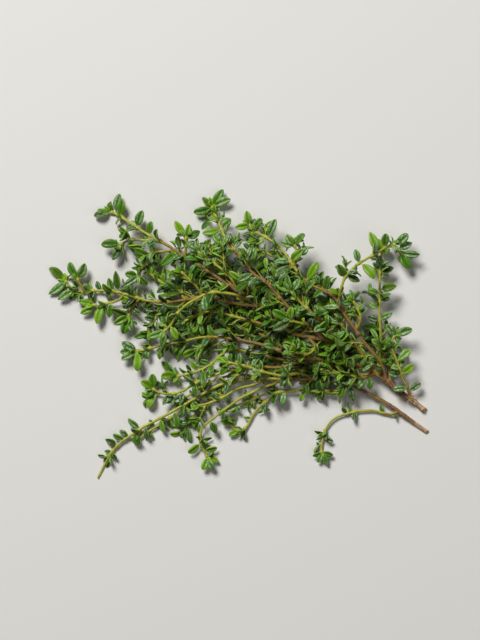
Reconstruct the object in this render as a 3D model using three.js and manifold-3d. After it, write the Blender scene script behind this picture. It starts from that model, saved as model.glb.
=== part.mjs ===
// A loose bundle of fresh thyme lying on a flat surface: two cut woody stems that fork into
// leafy shoots. Millimetres, +Z up, +X towards the cut ends, the surface at z = 0.
import * as THREE from 'three';
import { mergeVertices } from 'three/addons/utils/BufferGeometryUtils.js';
import Module from 'manifold-3d';

const wasm = await Module();
wasm.setup();
const { Manifold } = wasm;

// --- Driving dimensions -----------------------------------------------------------------
const LEAF_LENGTH = 7.6;          // a full-grown leaf, from the stem to its tip
const LEAF_SLENDER = 0.47;        // its width over its length
const LEAF_WIDTHS = [2.0, 3.9];   // narrowest and widest blade
const LEAF_THICKNESS = 0.8;       // through the midrib
const ROOT_SINK = 0.3;            // how far its root goes past the middle of the stem
const LEAF_ARCH = 0.07;           // height of the blade's arch over its length
const YOUNG_STRETCH = 26;         // leaves are still growing over this length below a tip
const YOUNGEST_LEAF = 0.6;        // size of the last leaves over a full-grown one
const PAIR_SPACING = 15.5;        // between one pair of leaves and the next
const TIP_CROWDING = 0.4;         // spacing of the last pairs over that of the others
const END_ROOT = 0.8;             // from the last pair to the end of the stem
const FIRST_TURN = 0.5;           // the last pair's turn about the stem, in radians
const BARE_ROOT = 6;              // no leaves this close to a shoot's root
const LEAF_SPREAD = 62;           // degrees between a leaf and its stem
const TUFT_SPREAD = 34;           // the same for the last leaves at a tip
const TUFT_LENGTH = 6;            // over which the spread opens from one to the other
const GAP = 0.3;                  // clear space between one piece and the next
const LOWEST_TIP = 0.25;          // leaf tips stay this far above the surface
const LEAST_ROOT = 0.003;         // volume of a leaf that must lie inside its stem
const CROWDED = 3.5;              // no leaf tip comes this close to one that is already there
const VARIES = { length: 0.15, spread: 10, roll: 0.3, turn: 0.4, spacing: 0.2, lift: 0.1 };

// --- Mesh densities ---------------------------------------------------------------------
const WOOD_SIDES = 6;
const SHOOT_SIDES = 4;            // young thyme stems are square
const STEM_STEP = 7;              // length of one stem facet

// The middle of the bundle on the surface, where the frame has its origin.
const ORIGIN = new THREE.Vector3(0.16, 0, 0);

const WOOD = new THREE.MeshStandardMaterial({ name: 'wood', color: 0x8a6240, roughness: 0.8 });
const GREEN = new THREE.MeshStandardMaterial({ name: 'green', color: 0x4f8034, roughness: 0.6 });

// --- Routes -----------------------------------------------------------------------------
// Woody pieces: each is one or more tubes, [radius at the root, radius at the end, points].
const WOODY = {
  thick_woody_stem: [
    [1.45, 1.0, [[93, -38.2, 0.8], [87, -33, 2.2], [80, -28.5, 4], [72.5, -22, 5.5], [63.5, -16.4, 7],
      [54, -13.5, 8.5], [46.5, -12.8, 9.3], [38.5, -12.3, 10], [30, -11.2, 10.5], [21, -8.3, 10.2]]],
    [0.95, 0.7, [[63.5, -16.4, 7], [55, -17.2, 5.6], [47, -16, 5], [38, -14.8, 5], [29, -13.6, 5],
      [20.8, -12.5, 5]]],
    [1.0, 0.85, [[57.5, -14.5, 8], [51.5, -9, 10], [48.5, -5.5, 11], [44, -3, 12], [38, -2, 12.8]]],
    [0.85, 0.7, [[73.5, -22.8, 5.3], [71.5, -14.8, 9], [67.5, -9.9, 11], [63.5, -5.3, 12.5],
      [59.8, -0.3, 14]]],
    [0.8, 0.65, [[66.3, -18, 6.6], [64, -13.5, 8.5], [61.4, -9, 10], [58.5, -5.5, 11], [56, -2.5, 11.6]]],
  ],
  thin_woody_stem: [
    [0.95, 0.7, [[94.5, -49, 0.5], [87.4, -43.9, 1.6], [81.2, -39.4, 2.6], [77, -36.3, 3], [65.9, -30, 3.8],
      [55.5, -25.5, 4.4], [43.5, -23.2, 5], [34, -22.6, 5.3]]],
  ],
};

// Leafy shoots: what each grows from, its radius at the root and at the tip, its points from
// root to tip, and where the tips of the leaves that stand clear of the bundle lie (x, y).
const SHOOTS = {
  // the long branch to the far top
  far_top: ['thick_woody_stem', 1, 0.65,
    [[38, -2, 12.8], [28.5, 0, 13.6], [23.5, 3, 14], [18.5, 8.8, 14.4], [12, 12.5, 14.8], [1.5, 20, 14.5],
      [-6.7, 25.5, 14], [-17.5, 33.3, 13], [-28, 39.3, 11.5], [-35, 44, 10.5], [-46.5, 50.5, 8],
      [-54, 55.5, 5.4], [-60, 59.5, 2], [-64, 61, 0.7]],
    [[-59, 70], [-72, 58.8], [-70.3, 62], [-66.8, 63.7], [-64.3, 65.8], [-57.7, 66.5], [-47.5, 61.5],
      [-55.5, 52.5], [-43, 56], [-38.3, 33.8]]],
  top_left_side: ['far_top', 0.6, 0.58,
    [[-38, 45.7, 10.1], [-42, 46.3, 8], [-47.5, 46.8, 6.3], [-54, 46.8, 5], [-59, 44.5, 4.5]],
    [[-62.5, 36.8], [-68.2, 44.5], [-58.5, 53.5], [-53, 41.5]]],
  top_left_inner: ['far_top', 0.6, 0.58,
    [[-31.5, 41.7, 11], [-37, 41, 8.5], [-42.5, 40.5, 7.4], [-45.5, 36.5, 6.6], [-48, 32, 6], [-50, 28.5, 5.6]],
    [[-52, 42.5], [-40, 35.5], [-56.3, 30], [-56.7, 24], [-45, 24.5]]],
  top_left_round: ['far_top', 0.6, 0.58,
    [[-26.5, 38.6, 11.7], [-25.8, 43, 13.2], [-26, 48.5, 13.6]],
    [[-31.3, 56], [-24.2, 54.5], [-18.8, 51], [-21.5, 46]]],
  top_inner: ['far_top', 0.65, 0.58,
    [[0, 21, 14.5], [-3.5, 27.5, 17], [-8.5, 32.5, 16.8], [-15, 37, 15.6], [-20, 41, 14.6]],
    [[-17.8, 44.7], [-25, 43.5]]],
  // the branch to the middle of the top
  top_middle: ['thick_woody_stem', 0.85, 0.6,
    [[42, -2.6, 12.3], [36, 3, 15.4], [29, 8.5, 17], [24, 14.3, 18], [18.5, 20.5, 18.4], [14.5, 25, 18],
      [7.5, 30, 17], [0.5, 38.8, 14.8], [-5.2, 46.5, 11.4], [-9, 53.8, 8], [-11.5, 59.6, 4], [-13, 64, 1.6]],
    [[-7.4, 72.2], [-3.7, 67.3], [-22.2, 60.6], [-15, 57.5], [-18, 68], [-3.5, 57], [-17.8, 50], [-1.5, 49],
      [-0.5, 26], [2, 22]]],
  // the shoots that rise from the wood towards the top right
  upper_right: ['thick_woody_stem', 0.85, 0.58,
    [[59.8, -0.3, 14], [56, 5.1, 15.4], [52, 11, 16.6], [47.5, 18.5, 17], [42.5, 21.5, 16.4], [35, 25, 15],
      [30.9, 29, 13.6], [27, 34.5, 12], [23.5, 39.8, 10.4], [17, 46, 8.6], [11, 49.8, 6.2], [7.5, 51.5, 5],
      [5.5, 55, 4.2]],
    [[4.2, 61.5], [18.7, 57.2], [11.8, 57.5], [-1.5, 53], [17.5, 29.5], [32.3, 42], [39.5, 35.5], [44.5, 29]]],
  upper_right_low: ['upper_right', 0.6, 0.58,
    [[27.6, 33.5, 12.2], [23, 35.3, 9.4], [17.8, 38.4, 7.6], [11.5, 41.2, 6.6], [7.9, 42, 6]],
    [[3, 38], [2.5, 45]]],
  upper_right_tip: ['upper_right', 0.6, 0.58,
    [[27.4, 33.8, 12.2], [30, 38, 13.6], [29, 41.5, 13.8], [27.5, 44.5, 13.6]],
    [[33, 49.7], [24.1, 49.5], [21, 45.5], [34.5, 43]]],
  inner_star: ['thick_woody_stem', 0.8, 0.58,
    [[48, -5, 11.2], [45.5, 1.5, 15.5], [39.5, 8, 19.4], [33, 13.5, 21], [28.4, 18.1, 21.4], [26.4, 21.2, 21.6]],
    [[18, 25.4], [24, 29.5], [30.6, 27.5], [26.4, 9.5]]],
  middle_tuft: ['thick_woody_stem', 0.75, 0.58,
    [[56, -2.5, 11.6], [53, 2, 12.4], [50, 6.8, 12.6], [46.5, 11.7, 12.4], [44.5, 15.5, 12]],
    [[38.8, 14], [37.5, 10.4], [38.8, 18.8]]],
  middle_side: ['upper_right', 0.6, 0.58,
    [[58.3, 1.8, 14.6], [60.5, 7, 17], [59.5, 12, 18], [56.5, 16.5, 18.4]],
    [[55.8, 21.5], [64, 13], [51.5, 15]]],
  crown_star: ['far_top', 0.75, 0.58,
    [[31, -0.5, 13.4], [34.5, 4.5, 17.6], [30.5, 5.6, 20.6], [25.5, 6.8, 22]],
    [[16.8, 11.7], [17, 2], [34, -1.5], [26.4, 13.5]]],
  arch: ['upper_right', 0.65, 0.58,
    [[49.4, 15.6, 16.9], [51, 23, 18.6], [53.5, 29, 18.8], [58.5, 34, 17.6], [63.5, 37.2, 15], [68.4, 40, 12.4],
      [73.5, 43.2, 9.8], [77.5, 44, 7.6], [80, 42, 6], [81.6, 39.8, 5]],
    [[65.2, 50.7], [73.3, 50], [84.5, 49.7], [86.8, 45.5], [90.5, 39.5], [85.5, 32.5], [49.3, 34.5],
      [57.9, 42], [67.5, 27.5], [60, 26]]],
  upright_right: ['thick_woody_stem', 0.75, 0.58,
    [[76, -24.6, 4.8], [74.6, -16.5, 4.4], [72.8, -11.4, 4.6], [71.3, -4.5, 5.4], [70.9, 2, 6.4],
      [70.3, 11.5, 7.4], [70.5, 22, 7.6], [70.5, 29.7, 6.2], [71, 36, 4.8], [71.8, 40.5, 3.6]],
    [[78.9, 24], [65, 15.5], [76.8, 10.5], [64.5, 8.5], [62, 3.5], [64.5, 22], [77.5, 33], [70, 47.5]]],
  right_side: ['thick_woody_stem', 0.65, 0.58,
    [[86.4, -32.6, 2.7], [84.5, -26.5, 4.6], [81.5, -21.3, 6.4], [79.3, -14.4, 8], [77.4, -9.5, 8.8],
      [76.3, -4.5, 9], [77.8, -0.5, 8.8]],
    [[86.5, 2.5], [73.5, 5], [85.8, -7.8], [71.5, -4.5], [87.3, -15.5], [91, -24.5], [75, -19.5], [77, -28]]],
  // the shoots to the left
  far_left: ['far_top', 0.8, 0.58,
    [[9.6, 14.2, 14.8], [4, 14.4, 12.2], [-2, 15.4, 11], [-9, 17.3, 10.4], [-17.5, 18.6, 10], [-26, 17, 9.4],
      [-37, 15.8, 8], [-45, 16.5, 6.8], [-51.3, 18.5, 5.8], [-61.7, 21.3, 4.2], [-70, 21.7, 2.6],
      [-79, 21.3, 1.4], [-83.5, 23.4, 0.5], [-86.5, 27, 0.3]],
    [[-94.3, 33], [-94.7, 19.7], [-90, 17], [-73.5, 17.2], [-70.5, 26.5], [-61, 31.5], [-64.5, 28], [-54, 24.5]]],
  far_left_side: ['far_left', 0.55, 0.58,
    [[-76.5, 21.4, 1.9], [-79, 25.2, 3.6], [-80.3, 28, 4]],
    [[-76.2, 35.3], [-84, 35.8]]],
  far_left_low: ['far_left', 0.55, 0.58,
    [[-56.4, 20, 5], [-59.5, 17, 4], [-65, 15.3, 3], [-69.5, 14.3, 2.6], [-72.6, 14.6, 2.5]],
    [[-78.7, 10.2], [-70.5, 5], [-79.5, 16.4], [-64, 8.5]]],
  left_inner: ['far_left', 0.6, 0.58,
    [[-17.5, 18.6, 10], [-21, 24, 12.2], [-25.5, 28.6, 12.8], [-28.5, 31, 12.8]],
    [[-30.5, 34.5], [-26.5, 35.5], [-34.5, 28.5]]],
  left_middle: ['far_left', 0.6, 0.58,
    [[-26, 17, 9.4], [-30.5, 21.5, 7.4], [-35, 24, 6], [-40, 27, 4.8], [-43.5, 30, 4]],
    [[-40.5, 20.5], [-37, 30.5]]],
  left_star: ['far_left', 0.55, 0.58,
    [[-49, 17.7, 6.2], [-52.5, 13.5, 4.2], [-54.6, 8.5, 3.4]],
    [[-63.3, 12.5], [-62, 4.8], [-57.4, 0], [-52.8, 1.6], [-48.5, 9.5]]],
  left_drop: ['far_left', 0.55, 0.58,
    [[-33.5, 16, 8.4], [-37.5, 12, 6], [-40.6, 8.5, 4.6], [-43, 5, 3.8], [-44.5, 1, 3.4]],
    [[-46.5, 8.5], [-35.5, 5.5], [-51.5, -1.8], [-40.5, -2.5]]],
  yellow_arch: ['far_top', 0.75, 0.6,
    [[4.5, 17.6, 14.7], [-4, 20, 18.2], [-13, 20.6, 19], [-20.5, 17.5, 18], [-26.2, 14, 16], [-30.8, 9.2, 13.6],
      [-33.2, 4.7, 11.2], [-37, 1, 9.4]],
    [[-16, 11.5], [-30, -2.5], [-44.5, -1.5], [-38, -6.5]]],
  inner_left: ['far_top', 0.75, 0.58,
    [[25, 2.2, 13.9], [17.5, 3.4, 11], [7.5, 6.3, 9], [-2, 8.8, 7.8], [-8, 10.3, 7.2], [-14, 11.2, 6.8],
      [-21, 9.5, 6], [-27, 6, 5.4]],
    []],
  inner_left_low: ['thick_woody_stem', 0.65, 0.58,
    [[26, -10, 10.4], [18, -3.5, 6.8], [10, 0.5, 4.6], [2, 3, 3.2], [-6, 4.6, 1.6], [-13, 4.4, 0.4], [-19, 3, 0.2]],
    []],
  middle_left: ['thick_woody_stem', 0.8, 0.58,
    [[21, -8.3, 10.2], [13, -5.6, 9.6], [4, -3.5, 8.8], [-5, -2, 7.8], [-13, -1.4, 6.8], [-20.5, -2, 5.8],
      [-28.2, -3.8, 4.6], [-38.5, -5.8, 3.4], [-44, -7.2, 2.9], [-51, -8.7, 2.6]],
    [[-58.2, -4], [-58.9, -9], [-58.2, -12.9], [-50, -18.5], [-45.5, -12.5], [-15, 4.5], [-24, 3.5]]],
  lower_left_loop: ['thick_woody_stem', 0.65, 0.58,
    [[20.8, -12.5, 5], [12, -10.4, 5.2], [2, -8.3, 6], [-4.5, -8.3, 6.4], [-9.2, -11, 6.2], [-13.6, -15.2, 5.6],
      [-19, -18, 4.8], [-24.5, -19.8, 4], [-30.4, -21.2, 3.4]],
    [[-38.4, -21.2], [-16.5, -26.5], [-24, -13.5]]],
  lower_left: ['thick_woody_stem', 0.75, 0.58,
    [[30, -13.8, 5], [21, -16.6, 7.6], [10, -16.2, 8.6], [1.5, -17, 8.6], [-4.1, -18.2, 8.2], [-10.8, -20, 7.8],
      [-17.5, -22.5, 7.2], [-23.2, -25.8, 6.4], [-29, -28.9, 5.2], [-34.5, -30, 4], [-39, -29.2, 3.4],
      [-43, -27.2, 3]],
    [[-42.7, -19.8], [-48.4, -23.5], [-46.5, -31.5], [-37.5, -35.5], [-28.5, -34.5]]],
  pale_tip: ['thin_woody_stem', 0.65, 0.58,
    [[38, -22.8, 5.1], [31, -19.5, 8], [22, -20.6, 10.6], [13, -18.8, 11.6], [6, -16.6, 11.8], [-1, -14.8, 11.6],
      [-5, -14, 11.2]],
    [[-11.5, -13], [-3.5, -9.5], [1, -9.5]]],
  // the long low shoot whose bare end points to the lower left, and those beside it
  long_low: ['thin_woody_stem', 0.85, 0.6,
    [[34, -22.6, 5.3], [23, -22.6, 5.6], [12.5, -22.3, 5.5], [1.5, -22.9, 5.2], [-9.1, -25.4, 4.8],
      [-22.8, -32.9, 4.2], [-37, -41, 3.4], [-47.2, -46.4, 2.6], [-52.5, -50, 2.2], [-58.5, -54, 1.8],
      [-63.5, -59.4, 1.3], [-66, -63.8, 0.8], [-70, -72, 0.3]],
    [[-55.8, -41], [-60, -47.5], [-67.5, -52], [-63.5, -49.5], [-67.5, -58.5], [-59.8, -63.5], [-49.7, -56.6],
      [-36.5, -50.5], [-44.5, -53.5], [-29.5, -48.5]]],
  low_second: ['long_low', 0.6, 0.58,
    [[9, -22.4, 5.4], [4, -20.4, 6.4], [-4.1, -20.8, 6], [-10.8, -22.8, 5.4], [-17.5, -26, 4.8],
      [-22.5, -29.3, 4.2], [-26.5, -31.6, 3.8]],
    [[-33, -33.5]]],
  low_third: ['long_low', 0.6, 0.58,
    [[-1, -23.4, 5.1], [-6.6, -27.6, 3.6], [-13, -32.9, 2.6], [-19, -38.3, 2], [-24, -42.4, 1.8]],
    [[-21.5, -47.5], [-30, -44.5]]],
  hanging: ['long_low', 0.65, 0.58,
    [[22, -22.6, 5.6], [17.5, -25, 6.6], [12.5, -26.6, 6.6], [2.5, -31.2, 6], [-2.5, -34.5, 5.4],
      [-9.1, -39.5, 4.6], [-16.8, -45.6, 3.6], [-19, -49.9, 3], [-18.7, -54.4, 2.5], [-17, -58.4, 2.1],
      [-15, -62, 1.8]],
    [[-10.5, -50.5], [-9.7, -56.5], [-25.7, -59.8], [-12, -68.5], [-18, -68.5], [-9, -64]]],
  low_right: ['thin_woody_stem', 0.65, 0.58,
    [[55.5, -25.5, 4.4], [49, -28.4, 4], [43.5, -28.6, 3.8], [31, -28.4, 3.4], [20.8, -28.9, 3.2],
      [12.5, -30.4, 3], [6.3, -32.9, 2.8], [-0.5, -35.6, 2.4]],
    [[31, -33.6], [22, -35.5], [-6.5, -38.5]]],
  small_loop: ['low_right', 0.6, 0.58,
    [[21.6, -28.9, 3.2], [15, -33, 1.9], [10.6, -36.6, 1.6], [7.4, -40.4, 1.4], [5.4, -44.6, 1.3],
      [2.2, -48, 1.3], [-1.8, -47.4, 1.4], [-4.4, -44.4, 1.6]],
    [[14.6, -39.8], [2, -41.5], [-5.5, -51.5], [-9.5, -43]]],
  trailing: ['thin_woody_stem', 0.6, 0.58,
    [[80, -38.6, 2.7], [76.5, -40.2, 1.8], [72.5, -39.4, 1.6], [67, -38.2, 1.6], [59.8, -38.6, 1.6],
      [54.5, -39.8, 1.6], [50, -41.2, 1.6], [46.3, -43.8, 1.6], [43.8, -47.4, 1.6], [42.7, -51.5, 1.6],
      [41.6, -56, 1.6], [42, -60, 1.6]],
    [[78.5, -43.5], [71, -33.5], [51, -35.6], [57.5, -43.5], [49, -54.8], [49.5, -61], [35.5, -61.5],
      [45.5, -67.5], [39, -66]]],
  // short shoots inside the pile
  inner_low: ['middle_tuft', 0.6, 0.58,
    [[52.4, 3, 12.4], [46, 4.5, 8.4], [40, 9.5, 7], [33, 15, 6], [26, 20, 5.2], [19, 25, 4.6], [13, 29.5, 4.2]],
    []],
  inner_top: ['far_left', 0.6, 0.58,
    [[2, 14.8, 11.6], [5, 21, 9.4], [1.5, 28, 8], [-5, 33.5, 7], [-11.5, 38.5, 6.4], [-15, 44, 6]],
    []],
  inner_right: ['thick_woody_stem', 0.6, 0.58,
    [[42, -14.8, 5.1], [35, -18.4, 2.6], [27, -17.6, 1], [18, -15.6, 0.2], [9, -13.6, 0.2]],
    []],
  inner_wood: ['thick_woody_stem', 0.65, 0.58,
    [[68, -19.4, 6.2], [62, -21.8, 8.4], [55, -20.2, 9.4], [47, -18.6, 9.6], [40, -17.4, 9.4]],
    [[59.8, -27], [65.5, -27.5]]],
  inner_crown: ['far_top', 0.6, 0.58,
    [[35, -1.6, 13], [38, -6.4, 15.4], [34.5, -9.8, 17.6], [29.5, -9, 21], [27.2, -7, 26.4]],
    []],
  // the last two of the fan of low shoots
  low_fourth: ['long_low', 0.6, 0.58,
    [[14, -22.4, 5.5], [8.5, -25, 5.6], [-1, -27.5, 7.2], [-7.5, -31.5, 7.6], [-15, -34.5, 7.4], [-20, -35.6, 7]],
    []],
  low_fifth: ['long_low', 0.6, 0.58,
    [[-25, -34.1, 4.1], [-30.5, -39.6, 2.8], [-37.5, -44.2, 2], [-44.5, -48.6, 1.7], [-50, -52.6, 1.5]],
    []],
};

// Spacing of the pairs on a shoot over PAIR_SPACING, where it isn't 1.
const SPACINGS = {
  far_top: 1.1, arch: 1.25, upright_right: 1.6, right_side: 1.15, trailing: 1.6, yellow_arch: 1.7, long_low: 1.9,
  low_second: 1.6, low_third: 1.3, hanging: 1.6, low_right: 1.5, small_loop: 1.5, lower_left: 1.5,
  lower_left_loop: 1.2, pale_tip: 1.1, top_middle: 0.8, top_inner: 0.8, upper_right: 0.75,
  inner_star: 0.7, middle_tuft: 0.8, middle_side: 0.8, inner_low: 0.8, inner_top: 0.8, inner_left: 0.7,
  inner_left_low: 0.9, middle_left: 0.9, left_middle: 0.8, left_drop: 0.85, inner_wood: 0.9,
  inner_crown: 0.8, left_inner: 0.8, low_fourth: 2.2, low_fifth: 2.4,
};

// The long low shoot has lost the leaves of its tip.
const BARE_TIPS = { long_low: 13 };

// --- Curves -----------------------------------------------------------------------------
// A smooth curve through the points, as straight facets of about STEM_STEP.
function smoothLine(points) {
  const places = points.map((point) => new THREE.Vector3(...point));
  const curve = new THREE.CatmullRomCurve3(places, false, 'catmullrom', 0.5);
  const spans = places.length - 1;
  const line = [{ at: places[0], length: 0 }];
  for (let span = 0; span < spans; span++) {
    const steps = Math.max(1, Math.round(places[span].distanceTo(places[span + 1]) / STEM_STEP));
    for (let step = 1; step <= steps; step++) {
      const at = curve.getPoint((span + step / steps) / spans);
      const last = line[line.length - 1];
      line.push({ at, length: last.length + at.distanceTo(last.at) });
    }
  }
  return line;
}

function lengthOf(line) {
  return line[line.length - 1].length;
}

// The directions along a stem, across it and up.
function directions(from, to) {
  const ahead = to.clone().sub(from).normalize();
  const across = new THREE.Vector3(0, 0, 1).cross(ahead).normalize();
  return { ahead, across, up: ahead.clone().cross(across) };
}

// The place a given length along a line.
function placeOn(line, distance) {
  let i = 1;
  while (i < line.length - 1 && line[i].length < distance) i++;
  const [from, to] = [line[i - 1], line[i]];
  const at = from.at.clone().lerp(to.at, (distance - from.length) / (to.length - from.length));
  return { at, ...directions(from.at, to.at) };
}

// --- Solids -----------------------------------------------------------------------------
function solidFrom(geometry) {
  geometry.deleteAttribute('normal');
  geometry.deleteAttribute('uv');
  const merged = mergeVertices(geometry, 1e-5);
  const mesh = new wasm.Mesh({
    numProp: 3,
    vertProperties: new Float32Array(merged.attributes.position.array),
    triVerts: new Uint32Array(merged.index.array),
  });
  return new Manifold(mesh);
}

function geometryFrom(solid) {
  const mesh = solid.getMesh();
  const geometry = new THREE.BufferGeometry();
  geometry.setAttribute('position', new THREE.BufferAttribute(mesh.vertProperties, 3));
  geometry.setIndex(new THREE.BufferAttribute(mesh.triVerts, 1));
  geometry.computeVertexNormals();
  return geometry;
}

// A tapered stem along a line, longer by `extra` at its far end.
function stemSolid(line, sides, rootRadius, endRadius, extra = 0) {
  const last = line.length - 1;
  const geometry = new THREE.CylinderGeometry(1, 1, 1, sides, last);
  const place = geometry.attributes.position;
  for (let i = 0; i < place.count; i++) {
    const ring = Math.round((place.getY(i) + 0.5) * last);
    const { ahead, across, up } = directions(line[Math.max(ring - 1, 0)].at, line[Math.min(ring + 1, last)].at);
    const radius = THREE.MathUtils.lerp(rootRadius, endRadius, line[ring].length / lengthOf(line));
    const at = line[ring].at.clone();
    at.addScaledVector(across, -place.getX(i) * radius);
    at.addScaledVector(up, place.getZ(i) * radius);
    at.addScaledVector(ahead, ring === last ? extra : 0);
    place.setXYZ(i, at.x, at.y, at.z);
  }
  return solidFrom(geometry);
}

// A leaf: flat above, keeled along the midrib below, pointed at both ends and arched along
// its length. Its root is sunk past the middle of the stem.
const BLADE_RINGS = [{ along: 0.4, width: 1 }, { along: 0.76, width: 0.76 }];
const BLADE_SIDES = 3;            // two edges and the keel

function leafSolid({ base, tip, facing, width }, margin = 0) {
  const geometry = new THREE.SphereGeometry(1, BLADE_SIDES, BLADE_RINGS.length + 1);
  const place = geometry.attributes.position;
  const length = base.distanceTo(tip);
  const root = { along: -ROOT_SINK / length, width: 0 };
  const rings = [root, ...BLADE_RINGS, { along: 1 + margin / length, width: 0 }];
  const side = facing.clone().cross(tip.clone().sub(base)).normalize();
  for (let i = 0; i < place.count; i++) {
    const [x, y, z] = [place.getX(i), place.getY(i), place.getZ(i)];
    const ring = rings[Math.round((1 - Math.acos(y) / Math.PI) * (BLADE_RINGS.length + 1))];
    const girth = ring.width / (Math.hypot(x, z) || 1);
    const across = z * girth / Math.sin(2 * Math.PI / BLADE_SIDES);
    const keel = Math.max(0, -x) * girth;
    const at = base.clone().lerp(tip, ring.along);
    at.addScaledVector(side, across * (width / 2 + margin));
    at.addScaledVector(facing, ring.width ? margin + LEAF_ARCH * length : 0);
    at.addScaledVector(facing, -keel * (LEAF_THICKNESS + 2 * margin));
    place.setXYZ(i, at.x, at.y, at.z);
  }
  return solidFrom(geometry);
}

// --- Leaves -----------------------------------------------------------------------------
// Repeatable draws between -1 and 1, a row of them for each shoot.
function makeDraws(seed) {
  let state = seed;
  return () => {
    state = (state * 1664525 + 1013904223) % 4294967296;
    return state / 2147483648 - 1;
  };
}

// Leaves turn their upper side to the shoot's tip and, more so, to the sky.
function leafPose(base, tip, ahead, sky, roll) {
  const axis = tip.clone().sub(base).normalize();
  const facing = ahead.clone().multiplyScalar(1 - sky).add(new THREE.Vector3(0, 0, sky));
  facing.addScaledVector(axis, -facing.dot(axis)).normalize();
  facing.applyAxisAngle(axis, roll);
  const length = base.distanceTo(tip);
  const width = THREE.MathUtils.clamp(length * LEAF_SLENDER, ...LEAF_WIDTHS);
  return { base, tip, facing, width };
}

// The poses that a leaf may take to reach a given point, best first.
const REACH_LIFTS = [0.15, 0.35, 0, 0.55, -0.15, 0.8];
const REACH_STEP = 0.5;           // fineness of the search for the nearest place on the stem
const REACH_SWEEP = 2.4;          // most that such a leaf sweeps forward along its stem
const REACH_LEAN = 0.45;          // its sweep over its distance from the stem
const REACH_SKY = 0.8;            // how far it turns its upper side to the sky, from 0 to 1

function reachingPoses(shoot, [x, y], draw) {
  const length = lengthOf(shoot.line);
  let near = { off: Infinity };
  for (let along = 0; along <= length; along += REACH_STEP) {
    const { at } = placeOn(shoot.line, along);
    const off = Math.hypot(at.x - x, at.y - y);
    if (off < near.off) near = { off, along };
  }
  const atTip = near.along > length - 1;
  const sweep = atTip ? 0 : Math.min(REACH_LEAN * near.off, REACH_SWEEP);
  const root = Math.min(near.along - sweep, length - END_ROOT);
  const { at, ahead } = placeOn(shoot.line, root);
  const lift = VARIES.lift * draw();
  const roll = VARIES.roll * draw();
  return REACH_LIFTS.map((more) => {
    const reach = Math.hypot(x - at.x, y - at.y);
    const tip = new THREE.Vector3(x, y, Math.max(at.z + (lift + more) * reach, LOWEST_TIP));
    return leafPose(at, tip, ahead, REACH_SKY, roll);
  });
}

// The poses that a leaf of a pair may take, best first.
const PAIR_TURNS = [0, 28, -28, 56, -56, 84];
const PAIR_SKY = 0.55;

function pairPoses(shoot, distance, turn, spread, size, draw) {
  const { at, ahead, across, up } = placeOn(shoot.line, distance);
  const length = LEAF_LENGTH * size * (1 + VARIES.length * draw());
  const open = THREE.MathUtils.degToRad(spread + VARIES.spread * draw());
  const roll = VARIES.roll * draw();
  return PAIR_TURNS.map((more) => {
    const around = turn + THREE.MathUtils.degToRad(more);
    const out = across.clone().multiplyScalar(Math.cos(around)).addScaledVector(up, Math.sin(around));
    const axis = ahead.clone().multiplyScalar(Math.cos(open)).addScaledVector(out, Math.sin(open));
    const tip = at.clone().addScaledVector(axis, length);
    tip.z = Math.max(tip.z, LOWEST_TIP);
    return leafPose(at, tip, ahead, PAIR_SKY, roll);
  });
}

// Opposite pairs down the shoot from its tip, each a quarter turn from the last.
function pairsOf(shoot, draw) {
  const length = lengthOf(shoot.line);
  const leaves = [];
  const spacing = PAIR_SPACING * (SPACINGS[shoot.name] ?? 1);
  let fromTip = BARE_TIPS[shoot.name] ?? END_ROOT;
  for (let pair = 0; length - fromTip > BARE_ROOT; pair++) {
    const growth = THREE.MathUtils.clamp(fromTip / YOUNG_STRETCH, 0, 1);
    const size = THREE.MathUtils.lerp(YOUNGEST_LEAF, 1, growth);
    const spread = THREE.MathUtils.lerp(TUFT_SPREAD, LEAF_SPREAD, Math.min(1, fromTip / TUFT_LENGTH));
    const turn = pair * Math.PI / 2 + FIRST_TURN + VARIES.turn * draw();
    for (const half of [0, Math.PI]) {
      leaves.push(pairPoses(shoot, length - fromTip, turn + half, spread, size, draw));
    }
    fromTip += spacing * THREE.MathUtils.lerp(TIP_CROWDING, 1, growth) * (1 + VARIES.spacing * draw());
  }
  return leaves;
}

// --- Assembly ---------------------------------------------------------------------------
const placed = [];                // every stem and leaf so far: its owner, solid and box
const leafTips = [];

function place(owner, solid) {
  placed.push({ owner, solid, box: solid.boundingBox() });
}

function boxesMeet(a, b) {
  return [0, 1, 2].every((i) => a.min[i] <= b.max[i] && b.min[i] <= a.max[i]);
}

function isClear(owner, solid) {
  const box = solid.boundingBox();
  return placed.every((other) => other.owner === owner || !boxesMeet(box, other.box)
    || other.solid.intersect(solid).isEmpty());
}

function isUncrowded(tip) {
  return leafTips.every((other) => other.distanceTo(tip) > CROWDED);
}

// A leaf takes its first pose that is clear of every other piece, if its root is in its stem.
function addLeaf(shoot, poses) {
  const pose = poses.find((choice) => isUncrowded(choice.tip) && isClear(shoot.name, leafSolid(choice, GAP)));
  if (!pose) return;
  const leaf = leafSolid(pose);
  if (leaf.intersect(shoot.solids[0]).volume() < LEAST_ROOT) return;
  place(shoot.name, leaf);
  leafTips.push(pose.tip);
  shoot.solids.push(leaf);
}

const collars = {};               // each stem a gap thicker, to trim what grows from it
const pieces = [];
for (const [name, tubes] of Object.entries(WOODY)) {
  const lines = tubes.map(([, , points]) => smoothLine(points));
  const tube = (root, end, i, grown) => stemSolid(lines[i], WOOD_SIDES, root + grown, end + grown, grown);
  const solids = tubes.map(([root, end], i) => tube(root, end, i, 0));
  collars[name] = Manifold.union(tubes.map(([root, end], i) => tube(root, end, i, GAP)));
  solids.forEach((solid) => place(name, solid));
  pieces.push({ name, solids, material: WOOD });
}
const shoots = Object.entries(SHOOTS).map(([name, [parent, root, end, points, reaches]], index) => {
  const line = smoothLine(points);
  const parts = stemSolid(line, SHOOT_SIDES, root, end).subtract(collars[parent]).decompose();
  const stem = parts.reduce((largest, part) => (part.volume() > largest.volume() ? part : largest));
  collars[name] = stemSolid(line, SHOOT_SIDES, root + GAP, end + GAP);
  place(name, stem);
  return { name, line, reaches, solids: [stem], material: GREEN, draw: makeDraws(index + 1) };
});
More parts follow.
